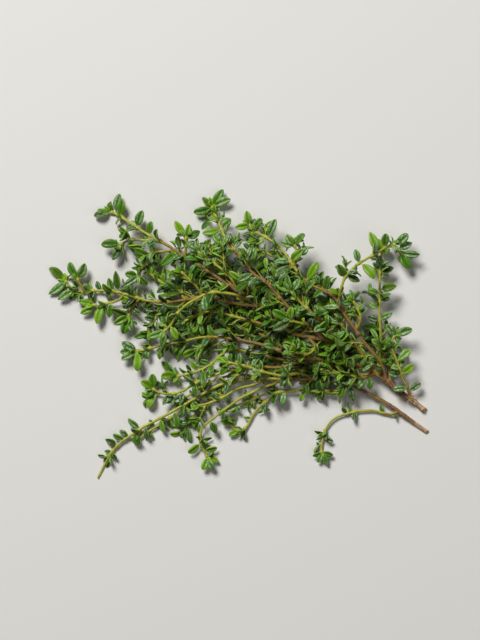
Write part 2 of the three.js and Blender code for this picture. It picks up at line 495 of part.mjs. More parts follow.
for (const shoot of shoots) {
  shoot.reaches.forEach((point) => addLeaf(shoot, reachingPoses(shoot, point, shoot.draw)));
}
for (const shoot of shoots) {
  pairsOf(shoot, shoot.draw).forEach((poses) => addLeaf(shoot, poses));
}
pieces.push(...shoots);

// What would reach under the surface is cut flat on it, so the bundle rests on small flats.
const SURFACE = { across: 400, deep: 10 };
const slab = new THREE.BoxGeometry(SURFACE.across, SURFACE.across, SURFACE.deep);
const surface = solidFrom(slab.translate(0, 0, -SURFACE.deep / 2));
const bundle = new THREE.Group();
for (const { name, solids, material } of pieces) {
  const mesh = new THREE.Mesh(geometryFrom(Manifold.union(solids).subtract(surface)), material);
  mesh.name = name;
  bundle.add(mesh);
}
bundle.position.sub(ORIGIN);

export default bundle;
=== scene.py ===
"""Looks of a loose bundle of fresh thyme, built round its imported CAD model.

Every leafy shoot gets fine leaves in place of its faceted ones, a smooth hairy stem, and side shoots
and buds at its joints and between them; the two woody stems get bark, knots and cut ends.
Lengths are in millimetres in the routes' own frame until to_frame() turns them into metres.
"""
import math

import bpy
import numpy as np
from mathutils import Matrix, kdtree


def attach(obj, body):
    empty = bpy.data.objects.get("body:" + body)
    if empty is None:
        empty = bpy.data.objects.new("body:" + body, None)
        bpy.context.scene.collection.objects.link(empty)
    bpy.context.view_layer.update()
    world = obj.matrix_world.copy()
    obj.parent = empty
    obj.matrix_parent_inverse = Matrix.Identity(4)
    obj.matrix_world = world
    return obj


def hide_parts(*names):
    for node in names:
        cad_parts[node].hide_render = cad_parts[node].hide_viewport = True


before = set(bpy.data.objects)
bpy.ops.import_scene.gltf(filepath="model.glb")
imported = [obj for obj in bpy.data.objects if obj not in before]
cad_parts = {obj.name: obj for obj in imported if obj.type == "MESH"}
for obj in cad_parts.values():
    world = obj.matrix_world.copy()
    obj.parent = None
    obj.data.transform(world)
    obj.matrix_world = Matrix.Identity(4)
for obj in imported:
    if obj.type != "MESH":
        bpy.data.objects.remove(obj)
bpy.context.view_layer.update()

# --- Routes, as the CAD model has them ---
ORIGIN = np.array([0.16, 0.0, 0.0])  # where the frame's origin lies in the routes' frame
MM = 0.001

# Points are written as "x y z, x y z", and read by rows().
# Woody pieces: each is one or more tubes, (radius at the root, radius at the end, points).
WOODY = {
    "thick_woody_stem": [
        (1.45, 1, """93 -38.2 0.8, 87 -33 2.2, 80 -28.5 4, 72.5 -22 5.5, 63.5 -16.4 7, 54 -13.5 8.5,
        46.5 -12.8 9.3, 38.5 -12.3 10, 30 -11.2 10.5, 21 -8.3 10.2"""),
        (0.95, 0.7, "63.5 -16.4 7, 55 -17.2 5.6, 47 -16 5, 38 -14.8 5, 29 -13.6 5, 20.8 -12.5 5"),
        (1, 0.85, "57.5 -14.5 8, 51.5 -9 10, 48.5 -5.5 11, 44 -3 12, 38 -2 12.8"),
        (0.85, 0.7, "73.5 -22.8 5.3, 71.5 -14.8 9, 67.5 -9.9 11, 63.5 -5.3 12.5, 59.8 -0.3 14"),
        (0.8, 0.65, "66.3 -18 6.6, 64 -13.5 8.5, 61.4 -9 10, 58.5 -5.5 11, 56 -2.5 11.6"),
    ],
    "thin_woody_stem": [
        (0.95, 0.7, """94.5 -49 0.5, 87.4 -43.9 1.6, 81.2 -39.4 2.6, 77 -36.3 3, 65.9 -30 3.8,
        55.5 -25.5 4.4, 43.5 -23.2 5, 34 -22.6 5.3"""),
    ],
}

# Leafy shoots: (radius at the root, spacing of the leaf pairs in PAIR_SPACINGs, how much of it has
# turned brown, points | where, seen from above, the tips of its leaves reach).
SHOOTS = {
    # the long branch to the far top
    "far_top": (1, 1.1, 0.74, """38 -2 12.8, 28.5 0 13.6, 23.5 3 14, 18.5 8.8 14.4, 12 12.5 14.8,
        1.5 20 14.5, -6.7 25.5 14, -17.5 33.3 13, -28 39.3 11.5, -35 44 10.5, -46.5 50.5 8, -54 55.5 5.4,
        -60 59.5 2, -64 61 0.7 | -59 70, -72 58.8, -70.3 62, -66.8 63.7, -64.3 65.8, -57.7 66.5, -47.5 61.5,
        -55.5 52.5, -43 56, -38.3 33.8"""),
    "top_left_side": (0.6, 1, 0.12, """-38 45.7 10.1, -42 46.3 8, -47.5 46.8 6.3, -54 46.8 5, -59 44.5 4.5 |
        -62.5 36.8, -68.2 44.5, -58.5 53.5, -53 41.5"""),
    "top_left_inner": (0.6, 1, 0.12, """-31.5 41.7 11, -37 41 8.5, -42.5 40.5 7.4, -45.5 36.5 6.6, -48 32 6,
        -50 28.5 5.6 | -52 42.5, -40 35.5, -56.3 30, -56.7 24, -45 24.5"""),
    "top_left_round": (0.6, 1, 0.12, """-26.5 38.6 11.7, -25.8 43 13.2, -26 48.5 13.6 | -31.3 56,
        -24.2 54.5, -18.8 51, -21.5 46"""),
    "top_inner": (0.65, 0.8, 0.12, """0 21 14.5, -3.5 27.5 17, -8.5 32.5 16.8, -15 37 15.6, -20 41 14.6 |
        -17.8 44.7, -25 43.5"""),
    # the branch to the middle of the top
    "top_middle": (0.85, 0.8, 0.72, """42 -2.6 12.3, 36 3 15.4, 29 8.5 17, 24 14.3 18, 18.5 20.5 18.4,
        14.5 25 18, 7.5 30 17, 0.5 38.8 14.8, -5.2 46.5 11.4, -9 53.8 8, -11.5 59.6 4, -13 64 1.6 |
        -7.4 72.2, -3.7 67.3, -22.2 60.6, -15 57.5, -18 68, -3.5 57, -17.8 50, -1.5 49, -0.5 26, 2 22"""),
    # the shoots that rise from the wood towards the top right
    "upper_right": (0.85, 0.75, 0.5, """59.8 -0.3 14, 56 5.1 15.4, 52 11 16.6, 47.5 18.5 17, 42.5 21.5 16.4,
        35 25 15, 30.9 29 13.6, 27 34.5 12, 23.5 39.8 10.4, 17 46 8.6, 11 49.8 6.2, 7.5 51.5 5, 5.5 55 4.2 |
        4.2 61.5, 18.7 57.2, 11.8 57.5, -1.5 53, 17.5 29.5, 32.3 42, 39.5 35.5, 44.5 29"""),
    "upper_right_low": (0.6, 1, 0.12, """27.6 33.5 12.2, 23 35.3 9.4, 17.8 38.4 7.6, 11.5 41.2 6.6, 7.9 42 6
        | 3 38, 2.5 45"""),
    "upper_right_tip": (0.6, 1, 0.12, """27.4 33.8 12.2, 30 38 13.6, 29 41.5 13.8, 27.5 44.5 13.6 | 33 49.7,
        24.1 49.5, 21 45.5, 34.5 43"""),
    "inner_star": (0.8, 0.7, 0.6, """48 -5 11.2, 45.5 1.5 15.5, 39.5 8 19.4, 33 13.5 21, 28.4 18.1 21.4,
        26.4 21.2 21.6 | 18 25.4, 24 29.5, 30.6 27.5, 26.4 9.5"""),
    "middle_tuft": (0.75, 0.8, 0.7, """56 -2.5 11.6, 53 2 12.4, 50 6.8 12.6, 46.5 11.7 12.4, 44.5 15.5 12 |
        38.8 14, 37.5 10.4, 38.8 18.8"""),
    "middle_side": (0.6, 0.8, 0.12, """58.3 1.8 14.6, 60.5 7 17, 59.5 12 18, 56.5 16.5 18.4 | 55.8 21.5,
        64 13, 51.5 15"""),
    "crown_star": (0.75, 1, 0.3, """31 -0.5 13.4, 34.5 4.5 17.6, 30.5 5.6 20.6, 25.5 6.8 22 | 16.8 11.7,
        17 2, 34 -1.5, 26.4 13.5"""),
    "arch": (0.65, 1.25, 0.12, """49.4 15.6 16.9, 51 23 18.6, 53.5 29 18.8, 58.5 34 17.6, 63.5 37.2 15,
        68.4 40 12.4, 73.5 43.2 9.8, 77.5 44 7.6, 80 42 6, 81.6 39.8 5 | 65.2 50.7, 73.3 50, 84.5 49.7,
        86.8 45.5, 90.5 39.5, 85.5 32.5, 49.3 34.5, 57.9 42, 67.5 27.5, 60 26"""),
    "upright_right": (0.75, 1.6, 0.2, """76 -24.6 4.8, 74.6 -16.5 4.4, 72.8 -11.4 4.6, 71.3 -4.5 5.4,
        70.9 2 6.4, 70.3 11.5 7.4, 70.5 22 7.6, 70.5 29.7 6.2, 71 36 4.8, 71.8 40.5 3.6 | 78.9 24, 65 15.5,
        76.8 10.5, 64.5 8.5, 62 3.5, 64.5 22, 77.5 33, 70 47.5"""),
    "right_side": (0.65, 1.15, 0.35, """86.4 -32.6 2.7, 84.5 -26.5 4.6, 81.5 -21.3 6.4, 79.3 -14.4 8,
        77.4 -9.5 8.8, 76.3 -4.5 9, 77.8 -0.5 8.8 | 86.5 2.5, 73.5 5, 85.8 -7.8, 71.5 -4.5, 87.3 -15.5,
        91 -24.5, 75 -19.5, 77 -28"""),
    # the shoots to the left
    "far_left": (0.8, 1, 0.5, """9.6 14.2 14.8, 4 14.4 12.2, -2 15.4 11, -9 17.3 10.4, -17.5 18.6 10,
        -26 17 9.4, -37 15.8 8, -45 16.5 6.8, -51.3 18.5 5.8, -61.7 21.3 4.2, -70 21.7 2.6, -79 21.3 1.4,
        -83.5 23.4 0.5, -86.5 27 0.3 | -94.3 33, -94.7 19.7, -90 17, -73.5 17.2, -70.5 26.5, -61 31.5,
        -64.5 28, -54 24.5"""),
    "far_left_side": (0.55, 1, 0.12, "-76.5 21.4 1.9, -79 25.2 3.6, -80.3 28 4 | -76.2 35.3, -84 35.8"),
    "far_left_low": (0.55, 1, 0.12, """-56.4 20 5, -59.5 17 4, -65 15.3 3, -69.5 14.3 2.6, -72.6 14.6 2.5 |
        -78.7 10.2, -70.5 5, -79.5 16.4, -64 8.5"""),
    "left_inner": (0.6, 0.8, 0.12, """-17.5 18.6 10, -21 24 12.2, -25.5 28.6 12.8, -28.5 31 12.8 |
        -30.5 34.5, -26.5 35.5, -34.5 28.5"""),
    "left_middle": (0.6, 0.8, 0.12, """-26 17 9.4, -30.5 21.5 7.4, -35 24 6, -40 27 4.8, -43.5 30 4 |
        -40.5 20.5, -37 30.5"""),
    "left_star": (0.55, 1, 0.12, """-49 17.7 6.2, -52.5 13.5 4.2, -54.6 8.5 3.4 | -63.3 12.5, -62 4.8,
        -57.4 0, -52.8 1.6, -48.5 9.5"""),
    "left_drop": (0.55, 0.85, 0.12, """-33.5 16 8.4, -37.5 12 6, -40.6 8.5 4.6, -43 5 3.8, -44.5 1 3.4 |
        -46.5 8.5, -35.5 5.5, -51.5 -1.8, -40.5 -2.5"""),
    "yellow_arch": (0.75, 1.7, 0.12, """4.5 17.6 14.7, -4 20 18.2, -13 20.6 19, -20.5 17.5 18, -26.2 14 16,
        -30.8 9.2 13.6, -33.2 4.7 11.2, -37 1 9.4 | -16 11.5, -30 -2.5, -44.5 -1.5, -38 -6.5"""),
    "inner_left": (0.75, 0.7, 0.4, """25 2.2 13.9, 17.5 3.4 11, 7.5 6.3 9, -2 8.8 7.8, -8 10.3 7.2,
        -14 11.2 6.8, -21 9.5 6, -27 6 5.4"""),
    "inner_left_low": (0.65, 0.9, 0.5, """26 -10 10.4, 18 -3.5 6.8, 10 0.5 4.6, 2 3 3.2, -6 4.6 1.6,
        -13 4.4 0.4, -19 3 0.2"""),
    "middle_left": (0.8, 0.9, 0.5, """21 -8.3 10.2, 13 -5.6 9.6, 4 -3.5 8.8, -5 -2 7.8, -13 -1.4 6.8,
        -20.5 -2 5.8, -28.2 -3.8 4.6, -38.5 -5.8 3.4, -44 -7.2 2.9, -51 -8.7 2.6 | -58.2 -4, -58.9 -9,
        -58.2 -12.9, -50 -18.5, -45.5 -12.5, -15 4.5, -24 3.5"""),
    "lower_left_loop": (0.65, 1.2, 0.25, """20.8 -12.5 5, 12 -10.4 5.2, 2 -8.3 6, -4.5 -8.3 6.4,
        -9.2 -11 6.2, -13.6 -15.2 5.6, -19 -18 4.8, -24.5 -19.8 4, -30.4 -21.2 3.4 | -38.4 -21.2,
        -16.5 -26.5, -24 -13.5"""),
    "lower_left": (0.75, 1.5, 0.3, """30 -13.8 5, 21 -16.6 7.6, 10 -16.2 8.6, 1.5 -17 8.6, -4.1 -18.2 8.2,
        -10.8 -20 7.8, -17.5 -22.5 7.2, -23.2 -25.8 6.4, -29 -28.9 5.2, -34.5 -30 4, -39 -29.2 3.4,
        -43 -27.2 3 | -42.7 -19.8, -48.4 -23.5, -46.5 -31.5, -37.5 -35.5, -28.5 -34.5"""),
    "pale_tip": (0.65, 1.1, 0.12, """38 -22.8 5.1, 31 -19.5 8, 22 -20.6 10.6, 13 -18.8 11.6, 6 -16.6 11.8,
        -1 -14.8 11.6, -5 -14 11.2 | -11.5 -13, -3.5 -9.5, 1 -9.5"""),
    # the long low shoot whose bare end points to the lower left, and those beside it
    "long_low": (0.85, 1.9, 0.12, """34 -22.6 5.3, 23 -22.6 5.6, 12.5 -22.3 5.5, 1.5 -22.9 5.2,
        -9.1 -25.4 4.8, -22.8 -32.9 4.2, -37 -41 3.4, -47.2 -46.4 2.6, -52.5 -50 2.2, -58.5 -54 1.8,
        -63.5 -59.4 1.3, -66 -63.8 0.8, -70 -72 0.3 | -55.8 -41, -60 -47.5, -67.5 -52, -63.5 -49.5,
        -67.5 -58.5, -59.8 -63.5, -49.7 -56.6, -36.5 -50.5, -44.5 -53.5, -29.5 -48.5"""),
    "low_second": (0.6, 1.6, 0.12, """9 -22.4 5.4, 4 -20.4 6.4, -4.1 -20.8 6, -10.8 -22.8 5.4,
        -17.5 -26 4.8, -22.5 -29.3 4.2, -26.5 -31.6 3.8 | -33 -33.5"""),
    "low_third": (0.6, 1.3, 0.12, """-1 -23.4 5.1, -6.6 -27.6 3.6, -13 -32.9 2.6, -19 -38.3 2, -24 -42.4 1.8
        | -21.5 -47.5, -30 -44.5"""),
    "hanging": (0.65, 1.6, 0.12, """22 -22.6 5.6, 17.5 -25 6.6, 12.5 -26.6 6.6, 2.5 -31.2 6, -2.5 -34.5 5.4,
        -9.1 -39.5 4.6, -16.8 -45.6 3.6, -19 -49.9 3, -18.7 -54.4 2.5, -17 -58.4 2.1, -15 -62 1.8 |
        -10.5 -50.5, -9.7 -56.5, -25.7 -59.8, -12 -68.5, -18 -68.5, -9 -64"""),
    "low_right": (0.65, 1.5, 0.12, """55.5 -25.5 4.4, 49 -28.4 4, 43.5 -28.6 3.8, 31 -28.4 3.4,
        20.8 -28.9 3.2, 12.5 -30.4 3, 6.3 -32.9 2.8, -0.5 -35.6 2.4 | 31 -33.6, 22 -35.5, -6.5 -38.5"""),
    "small_loop": (0.6, 1.5, 0.12, """21.6 -28.9 3.2, 15 -33 1.9, 10.6 -36.6 1.6, 7.4 -40.4 1.4,
        5.4 -44.6 1.3, 2.2 -48 1.3, -1.8 -47.4 1.4, -4.4 -44.4 1.6 | 14.6 -39.8, 2 -41.5, -5.5 -51.5,
        -9.5 -43"""),
    "trailing": (0.6, 1.6, 0.12, """80 -38.6 2.7, 76.5 -40.2 1.8, 72.5 -39.4 1.6, 67 -38.2 1.6,
        59.8 -38.6 1.6, 54.5 -39.8 1.6, 50 -41.2 1.6, 46.3 -43.8 1.6, 43.8 -47.4 1.6, 42.7 -51.5 1.6,
        41.6 -56 1.6, 42 -60 1.6 | 78.5 -43.5, 71 -33.5, 51 -35.6, 57.5 -43.5, 49 -54.8, 49.5 -61,
        35.5 -61.5, 45.5 -67.5, 39 -66"""),
    # short shoots inside the pile
    "inner_low": (0.6, 0.8, 0.3, """52.4 3 12.4, 46 4.5 8.4, 40 9.5 7, 33 15 6, 26 20 5.2, 19 25 4.6,
        13 29.5 4.2"""),
    "inner_top": (0.6, 0.8, 0.3, "2 14.8 11.6, 5 21 9.4, 1.5 28 8, -5 33.5 7, -11.5 38.5 6.4, -15 44 6"),
    "inner_right": (0.6, 1, 0.4, "42 -14.8 5.1, 35 -18.4 2.6, 27 -17.6 1, 18 -15.6 0.2, 9 -13.6 0.2"),
    "inner_wood": (0.65, 0.9, 0.5, """68 -19.4 6.2, 62 -21.8 8.4, 55 -20.2 9.4, 47 -18.6 9.6, 40 -17.4 9.4 |
        59.8 -27, 65.5 -27.5"""),
    "inner_crown": (0.6, 0.8, 0.4, "35 -1.6 13, 38 -6.4 15.4, 34.5 -9.8 17.6, 29.5 -9 21, 27.2 -7 26.4"),
    # the last two of the fan of low shoots
    "low_fourth": (0.6, 2.2, 0.12, """14 -22.4 5.5, 8.5 -25 5.6, -1 -27.5 7.2, -7.5 -31.5 7.6,
        -15 -34.5 7.4, -20 -35.6 7"""),
    "low_fifth": (0.6, 2.4, 0.12, """-25 -34.1 4.1, -30.5 -39.6 2.8, -37.5 -44.2 2, -44.5 -48.6 1.7,
        -50 -52.6 1.5"""),
}

END_RADII = {"far_top": 0.65, "top_middle": 0.6, "yellow_arch": 0.6, "long_low": 0.6}
END_OF_REST = 0.58

BARE_TIPS = {"long_low": 13}  # it has lost the leaves of its tip

# --- The rule that places the leaves, as the CAD model has it ---
LEAF_LENGTH = 7.6
LEAF_SLENDER = 0.47
LEAF_WIDTHS = (2.0, 3.9)
LEAF_ARCH = 0.07
YOUNG_STRETCH = 26
YOUNGEST_LEAF = 0.6
PAIR_SPACING = 15.5
TIP_CROWDING = 0.4
END_ROOT = 0.8
FIRST_TURN = 0.5
BARE_ROOT = 6
LEAF_SPREAD = 62
TUFT_SPREAD = 34
TUFT_LENGTH = 6
LOWEST_TIP = 0.25
FACET = 7
VARY = {"length": 0.15, "spread": 10, "roll": 0.3, "turn": 0.4, "spacing": 0.2, "lift": 0.1}
REACH_LIFTS = (0.15, 0.35, 0, 0.55, -0.15, 0.8)
REACH_STEP = 0.5
REACH_SWEEP = 2.4
REACH_LEAN = 0.45
REACH_SKY = 0.8
PAIR_TURNS = (0, 28, -28, 56, -56, 84)
PAIR_SKY = 0.55
SAME_PLACE = 0.06 * MM  # a leaf's tip is a corner of the solid to within this

# --- What the looks add ---
FINE_STEP = 0.8  # length of one ring of a fine stem
BARK_STEP = 0.7 * FINE_STEP  # and of one of bark
STEM_SIDES = 12
WOOD_SIDES = 26
FLOOR_SOFT = 0.7  # what comes lower than this is pressed up from the surface
SEED = 20
YOUNG_TIP = 24  # length of a shoot's tip over which its leaves turn young
YOUNGEST = 0.9
YOUNG_REACHING = 0.22  # how young the leaves are that reach a given point
HALVES = (0, math.pi)  # the turns of the two leaves of a pair

BROWNING = 30  # length over which a shoot turns brown
BROWN_START = 0.4  # how brown it is where that much of it ends
OLDEST = 0.86  # how brown the brownest of them are


# --- Small helpers ---
UP = np.array([0, 0, 1])


def unit(v):
    return v / np.maximum(np.linalg.norm(v, axis=-1, keepdims=True), 1e-12)


def lerp(a, b, t):
    return a + (b - a) * t


def clamp(x, low, high):
    return min(max(x, low), high)


def swing(a, b, angle):
    """The direction a, turned by an angle towards b."""
    return a * np.cos(angle) + b * np.sin(angle)


UPRIGHT_NUDGE = 1e-6


def directions(ahead, nudge=0):
    """Across and up for a direction ahead; a nudge is for one that may be upright."""
    across = unit(np.cross(UP, ahead) + np.array([nudge, 0, 0]))
    return across, np.cross(ahead, across)


def to_frame(points):
    """From the routes' millimetres to the frame's metres."""
    return (points - ORIGIN) * MM


def rows(text):
    return [np.array(point.split(), float) for point in text.split(",") if point.strip()]


def tree_of(places):
    """A tree of places, to look up which are near."""
    tree = kdtree.KDTree(len(places))
    for i, place in enumerate(places):
        tree.insert(place, i)
    tree.balance()
    return tree


class Line:
    """A smooth curve through points, as straight facets of about one length."""

    def __init__(self, points, facet):
        p = np.vstack([2 * points[0] - points[1], points, 2 * points[-1] - points[-2]])
        at = [p[1]]
        for p0, p1, p2, p3 in zip(p, p[1:], p[2:], p[3:]):
            t0, t1 = (p2 - p0) / 2, (p3 - p1) / 2
            steps = max(1, math.floor(np.linalg.norm(p2 - p1) / facet + 0.5))
            for t in np.arange(1, steps + 1) / steps:
                bend = t ** 2 * (3 * (p2 - p1) - 2 * t0 - t1) + t ** 3 * (2 * (p1 - p2) + t0 + t1)
                at.append(p1 + t * t0 + bend)
        self.at = np.array(at)
        chords = np.linalg.norm(np.diff(self.at, axis=0), axis=1)
        self.lengths = np.concatenate([[0], np.cumsum(chords)])
        self.length = self.lengths[-1]

    def place(self, distance):
        """The place a given length along, and the directions ahead, across and up."""
        i = int(np.searchsorted(self.lengths[1:-1], distance)) + 1
        a, b = self.at[i - 1], self.at[i]
        share = (distance - self.lengths[i - 1]) / (self.lengths[i] - self.lengths[i - 1])
        ahead = unit(b - a)
        return lerp(a, b, share), ahead, *directions(ahead)

    def read(self, values, distance):
        """Values that belong to the curve's points, at a given length along."""
        if values.ndim == 1:
            return np.interp(distance, self.lengths, values)
        return np.stack([self.read(column, distance) for column in values.T], axis=-1)


def leaf_pose(base, tip, ahead, sky, roll):
    """Leaves turn their upper side to the shoot's tip and, more so, to the sky."""
    axis = unit(tip - base)
    facing = ahead * (1 - sky) + UP * sky
    facing = unit(facing - axis * facing.dot(axis))
    width = clamp(np.linalg.norm(tip - base) * LEAF_SLENDER, *LEAF_WIDTHS)
    return base, tip, swing(facing, np.cross(axis, facing), roll), width


def draws(seed):
    """Repeatable numbers between -1 and 1."""
    state = seed
    while True:
        state = (state * 1664525 + 1013904223) % 4294967296
        yield state / 2147483648 - 1


def reaching_poses(line, goal, draw):
    """The poses that a leaf may take to reach a given point from above, best first."""
    along = np.arange(0, line.length + 1e-9, REACH_STEP)
    off = np.linalg.norm(line.read(line.at[:, :2], along) - goal, axis=1)
    near = along[off.argmin()]
    sweep = 0 if near > line.length - 1 else min(REACH_LEAN * off.min(), REACH_SWEEP)
    at, ahead, _, _ = line.place(min(near - sweep, line.length - END_ROOT))
    lift, roll = (VARY[key] * next(draw) for key in ("lift", "roll"))
    reach = np.linalg.norm(goal - at[:2])
    for more in REACH_LIFTS:
        tip = np.array([*goal, max(at[2] + (lift + more) * reach, LOWEST_TIP)])
        yield leaf_pose(at, tip, ahead, REACH_SKY, roll)


def pair_poses(line, distance, turn, spread, size, draw):
    """The poses that a leaf of a pair may take, best first."""
    at, ahead, across, up = line.place(distance)
    length = LEAF_LENGTH * size * (1 + VARY["length"] * next(draw))
    opening = math.radians(spread + VARY["spread"] * next(draw))
    roll = VARY["roll"] * next(draw)
    for more in PAIR_TURNS:
        out = swing(across, up, turn + math.radians(more))
        tip = at + swing(ahead, out, opening) * length
        tip[2] = max(tip[2], LOWEST_TIP)
        yield leaf_pose(at, tip, ahead, PAIR_SKY, roll)


def pair_joints(line, spacing, from_tip, draw):
    """The joints down a shoot from its tip: place, turn, spread and size of each pair of leaves."""
    pair = 0
    while line.length - from_tip > BARE_ROOT:
        growth = clamp(from_tip / YOUNG_STRETCH, 0, 1)
        size = lerp(YOUNGEST_LEAF, 1, growth)
        spread = lerp(TUFT_SPREAD, LEAF_SPREAD, min(1, from_tip / TUFT_LENGTH))
        turn = pair * math.pi / 2 + FIRST_TURN + VARY["turn"] * next(draw)
        yield line.length - from_tip, turn, spread, size
        vary = 1 + VARY["spacing"] * next(draw)
        from_tip += PAIR_SPACING * spacing * lerp(TIP_CROWDING, 1, growth) * vary
        pair += 1


# --- Leaves ---
def section(top, under):
    """A blade's cross-section: (across, is upper) round its edge, from the left rim over the top."""
    return [(-1, 0.5)] + [(u, 1) for u in top] + [(1, 0.5)] + [(u, 0) for u in reversed(under)]


# The places of a blade's rings along it, between its ends, and its cross-section.
FULL_LEAF = (
    [0, 0.07, 0.13, 0.18, 0.25, 0.34, 0.45, 0.56, 0.67, 0.77, 0.86, 0.93, 0.975],
    section((-0.86, -0.5, -0.16, 0, 0.16, 0.5, 0.86), (-0.8, -0.3, 0, 0.3, 0.8)),
)
SMALL_LEAF = (
    [0, 0.12, 0.22, 0.36, 0.52, 0.68, 0.83, 0.94],
    section((-0.72, -0.36, 0, 0.36, 0.72), (-0.5, 0, 0.5)),
)
BUD_LEAF = ([0, 0.2, 0.45, 0.7, 0.9], section((-0.5, 0, 0.5), (0,)))
LEAF_FOOT = -0.02  # where its first end lies, in its stem
PETIOLE = 0.14  # share of a leaf's length that is its stalk
PETIOLE_WIDTH = 0.62
PETIOLE_ENDS = (0.6, 0.2)  # it narrows between these shares, hidden in the blade
FOOT_POWER = 0.58  # how blunt a blade is at its foot
TIP_POWERS = (0.46, 0.8)  # and at its tip, from round to pointed
BLADE_THICK = 0.24
RIB_THICK = 0.2
RIB_WIDTH = 0.25  # of half the blade
# Narrow leaves have thinner stalks and blades: in full from these widths on, and half at least.
FULL_STALK = 3
FULL_BLADE = 2.6
# Heights over a blade's plane, in half widths: its two halves rise from the rib, are a little
# puffed and roll down again at the rim.
FOLD = (0.12, 0.6)
PUFF = 0.22
RIM_CURL = 0.16
RIM_FROM = 0.72
# How much leaves differ: share of the width and of the arch, bends in lengths, twist in radians.
WIDTH_VARY = 0.12
ARCH_VARY = 0.5
BEND_VARY = 0.06
RIPPLE = (0.06, 9, 4)  # height in half widths, waves and how far these shift
TWIST_VARY = 0.4


def closed_faces(rings, size, order):
    """The faces of a skin over rings of points, with one point before them and one after."""
    number = np.clip(np.arange((rings + 2) * size) - size + 1, 0, rings * size + 1).reshape(-1, size)
    after = np.roll(number, -1, axis=1)
    quads = np.stack([number[:-1], number[1:], after[1:], after[:-1]], axis=-1)[..., order]
    return [list(dict.fromkeys(quad)) for quad in quads.reshape(-1, 4).tolist()]


def blade_widths(along, b):
    """Half the width of a blade over its widest half, at places along the leaf."""
    a = FOOT_POWER
    s = np.clip((along - PETIOLE) / (1 - PETIOLE), 0, 1)
    widest = a / (a + b)
    return (s ** a * (1 - s) ** b) / (widest ** a * (1 - widest) ** b)


class Leaves:
    """Gathers leaves and builds them as one mesh of closed blades."""

    def __init__(self, shape, seed):
        self.along, self.ring = shape
        self.rows = []
        self.random = np.random.default_rng(seed)

    def add(self, pose, young):
        self.rows.append((*pose, young))

    def build(self):
        """Vertices, faces and what the material reads of each vertex."""
        base, tip, facing, width, young = (np.array(row)[:, None, None] for row in zip(*self.rows))
        varied = self.random.uniform(-1, 1, (7, len(base), 1, 1))
        wide, high, sharp, swayed, wavy, twisted, folded = varied
        t = np.array([LEAF_FOOT, *self.along, 1])[None, :, None]
        u, upper = (np.array(row)[None, None, :] for row in zip(*self.ring))
        length = np.linalg.norm(tip - base, axis=-1, keepdims=True)
        axis = (tip - base) / length
        length = length[..., 0]
        side = unit(np.cross(facing, axis))
        # half the width of the blade and its stalk, drawn in to a point at both ends
        half = blade_widths(t, lerp(*TIP_POWERS, (sharp + 1) / 2)) * width / 2 * (1 + WIDTH_VARY * wide)
        stalk = PETIOLE_WIDTH / 2 * np.clip(width / FULL_STALK, 0.5, 1)
        last, full = PETIOLE_ENDS
        half = np.maximum(half, stalk * np.clip((last - t) / (last - full), 0, 1))
        half[:, [0, -1]] = 0
        fill = np.clip(half / stalk, 0, 1) * np.clip(width / FULL_BLADE, 0.5, 1)
        off = np.abs(u)
        relief = lerp(*FOLD, (folded + 1) / 2) * off + PUFF * 4 * off * (1 - off)
        relief = relief - RIM_CURL * (np.clip(off - RIM_FROM, 0, 1) / (1 - RIM_FROM)) ** 2
        thick = BLADE_THICK + RIB_THICK * np.exp(-(u / RIB_WIDTH) ** 2)
        height = relief * half - (1 - upper) * thick * fill + 0.5 * BLADE_THICK * fill
        arch = LEAF_ARCH * length * 4 * t * (1 - t) * (1 + ARCH_VARY * high)
        recurve = BEND_VARY * length * sharp * np.sin(2 * math.pi * t) * t
        sway = BEND_VARY * length * swayed * np.sin(math.pi * t)
        tall, waves, shift = RIPPLE
        ripple = tall * half * wavy * np.sin(waves * t + shift * twisted) * u
        twist = TWIST_VARY * twisted * (t - 0.5)
        x = half * u * np.cos(twist) + sway
        y = height + half * u * np.sin(twist) + ripple + arch + recurve
        points = base + axis * (t * length)[..., None] + side * x[..., None] + facing * y[..., None]
        tint = self.random.uniform(0, 1, (len(base), 1, 1))
        values = {"across": u, "along": t, "upper": upper, "young": young, "tint": tint}
        values = {key: np.broadcast_to(value, points.shape[:3]) for key, value in values.items()}
        return self._closed(points, values)

    def _closed(self, points, values):
        """Joins the rings; the first and the last of each leaf are single points."""
        count, rings, size = points.shape[:3]
        keep = np.r_[0, size:(rings - 1) * size + 1]
        one = closed_faces(rings - 2, size, (0, 1, 2, 3))
        faces = [[corner + i * len(keep) for corner in face] for i in range(count) for face in one]
        verts = points.reshape(count, -1, 3)[:, keep].reshape(-1, 3)
        values = {key: value.reshape(count, -1)[:, keep].ravel() for key, value in values.items()}
        return verts, faces, values


# --- Stems ---
# A cut face: its rings as shares of the stem's radius, its slant, unevenness and bevel in radii.
CUT_RINGS = np.array([0.22, 0.5, 0.75, 0.93])
CUT_TILT = 1.05
CUT_FACES = -1.9  # which side of it reaches furthest, round from the left
CUT_ROUGH = 0.05
CUT_BEVEL = 0.08
END_CAPS = ((0, -0.3), (-1, 0.6))  # how far a stem's rounded ends reach, in radii
# A shoot's stem: its tip's radius as a share of the solid's, and (size, reach) of what changes it.
FINE_END = 0.85
ROOT_FLARE = (0.5, 1.6)
JOINT_SWELLING = (0.3, 0.9)
TIP_TAPER = (-0.5, 1.2)
HAIRS = 7  # on a millimetre of green stem
HAIR_LENGTH = (0.2, 0.5)
HAIR_WIDTH = 0.04
HAIR_LEAN = 0.5
HAIR_ROOT = 0.85  # share of the stem's radius at which they start
HAIR_AGE = -1  # the age by which the material knows them
HAIR_FACES = ((0, 1, 3), (1, 2, 3), (2, 0, 3), (2, 1, 0))  # its corner 3 is the tip


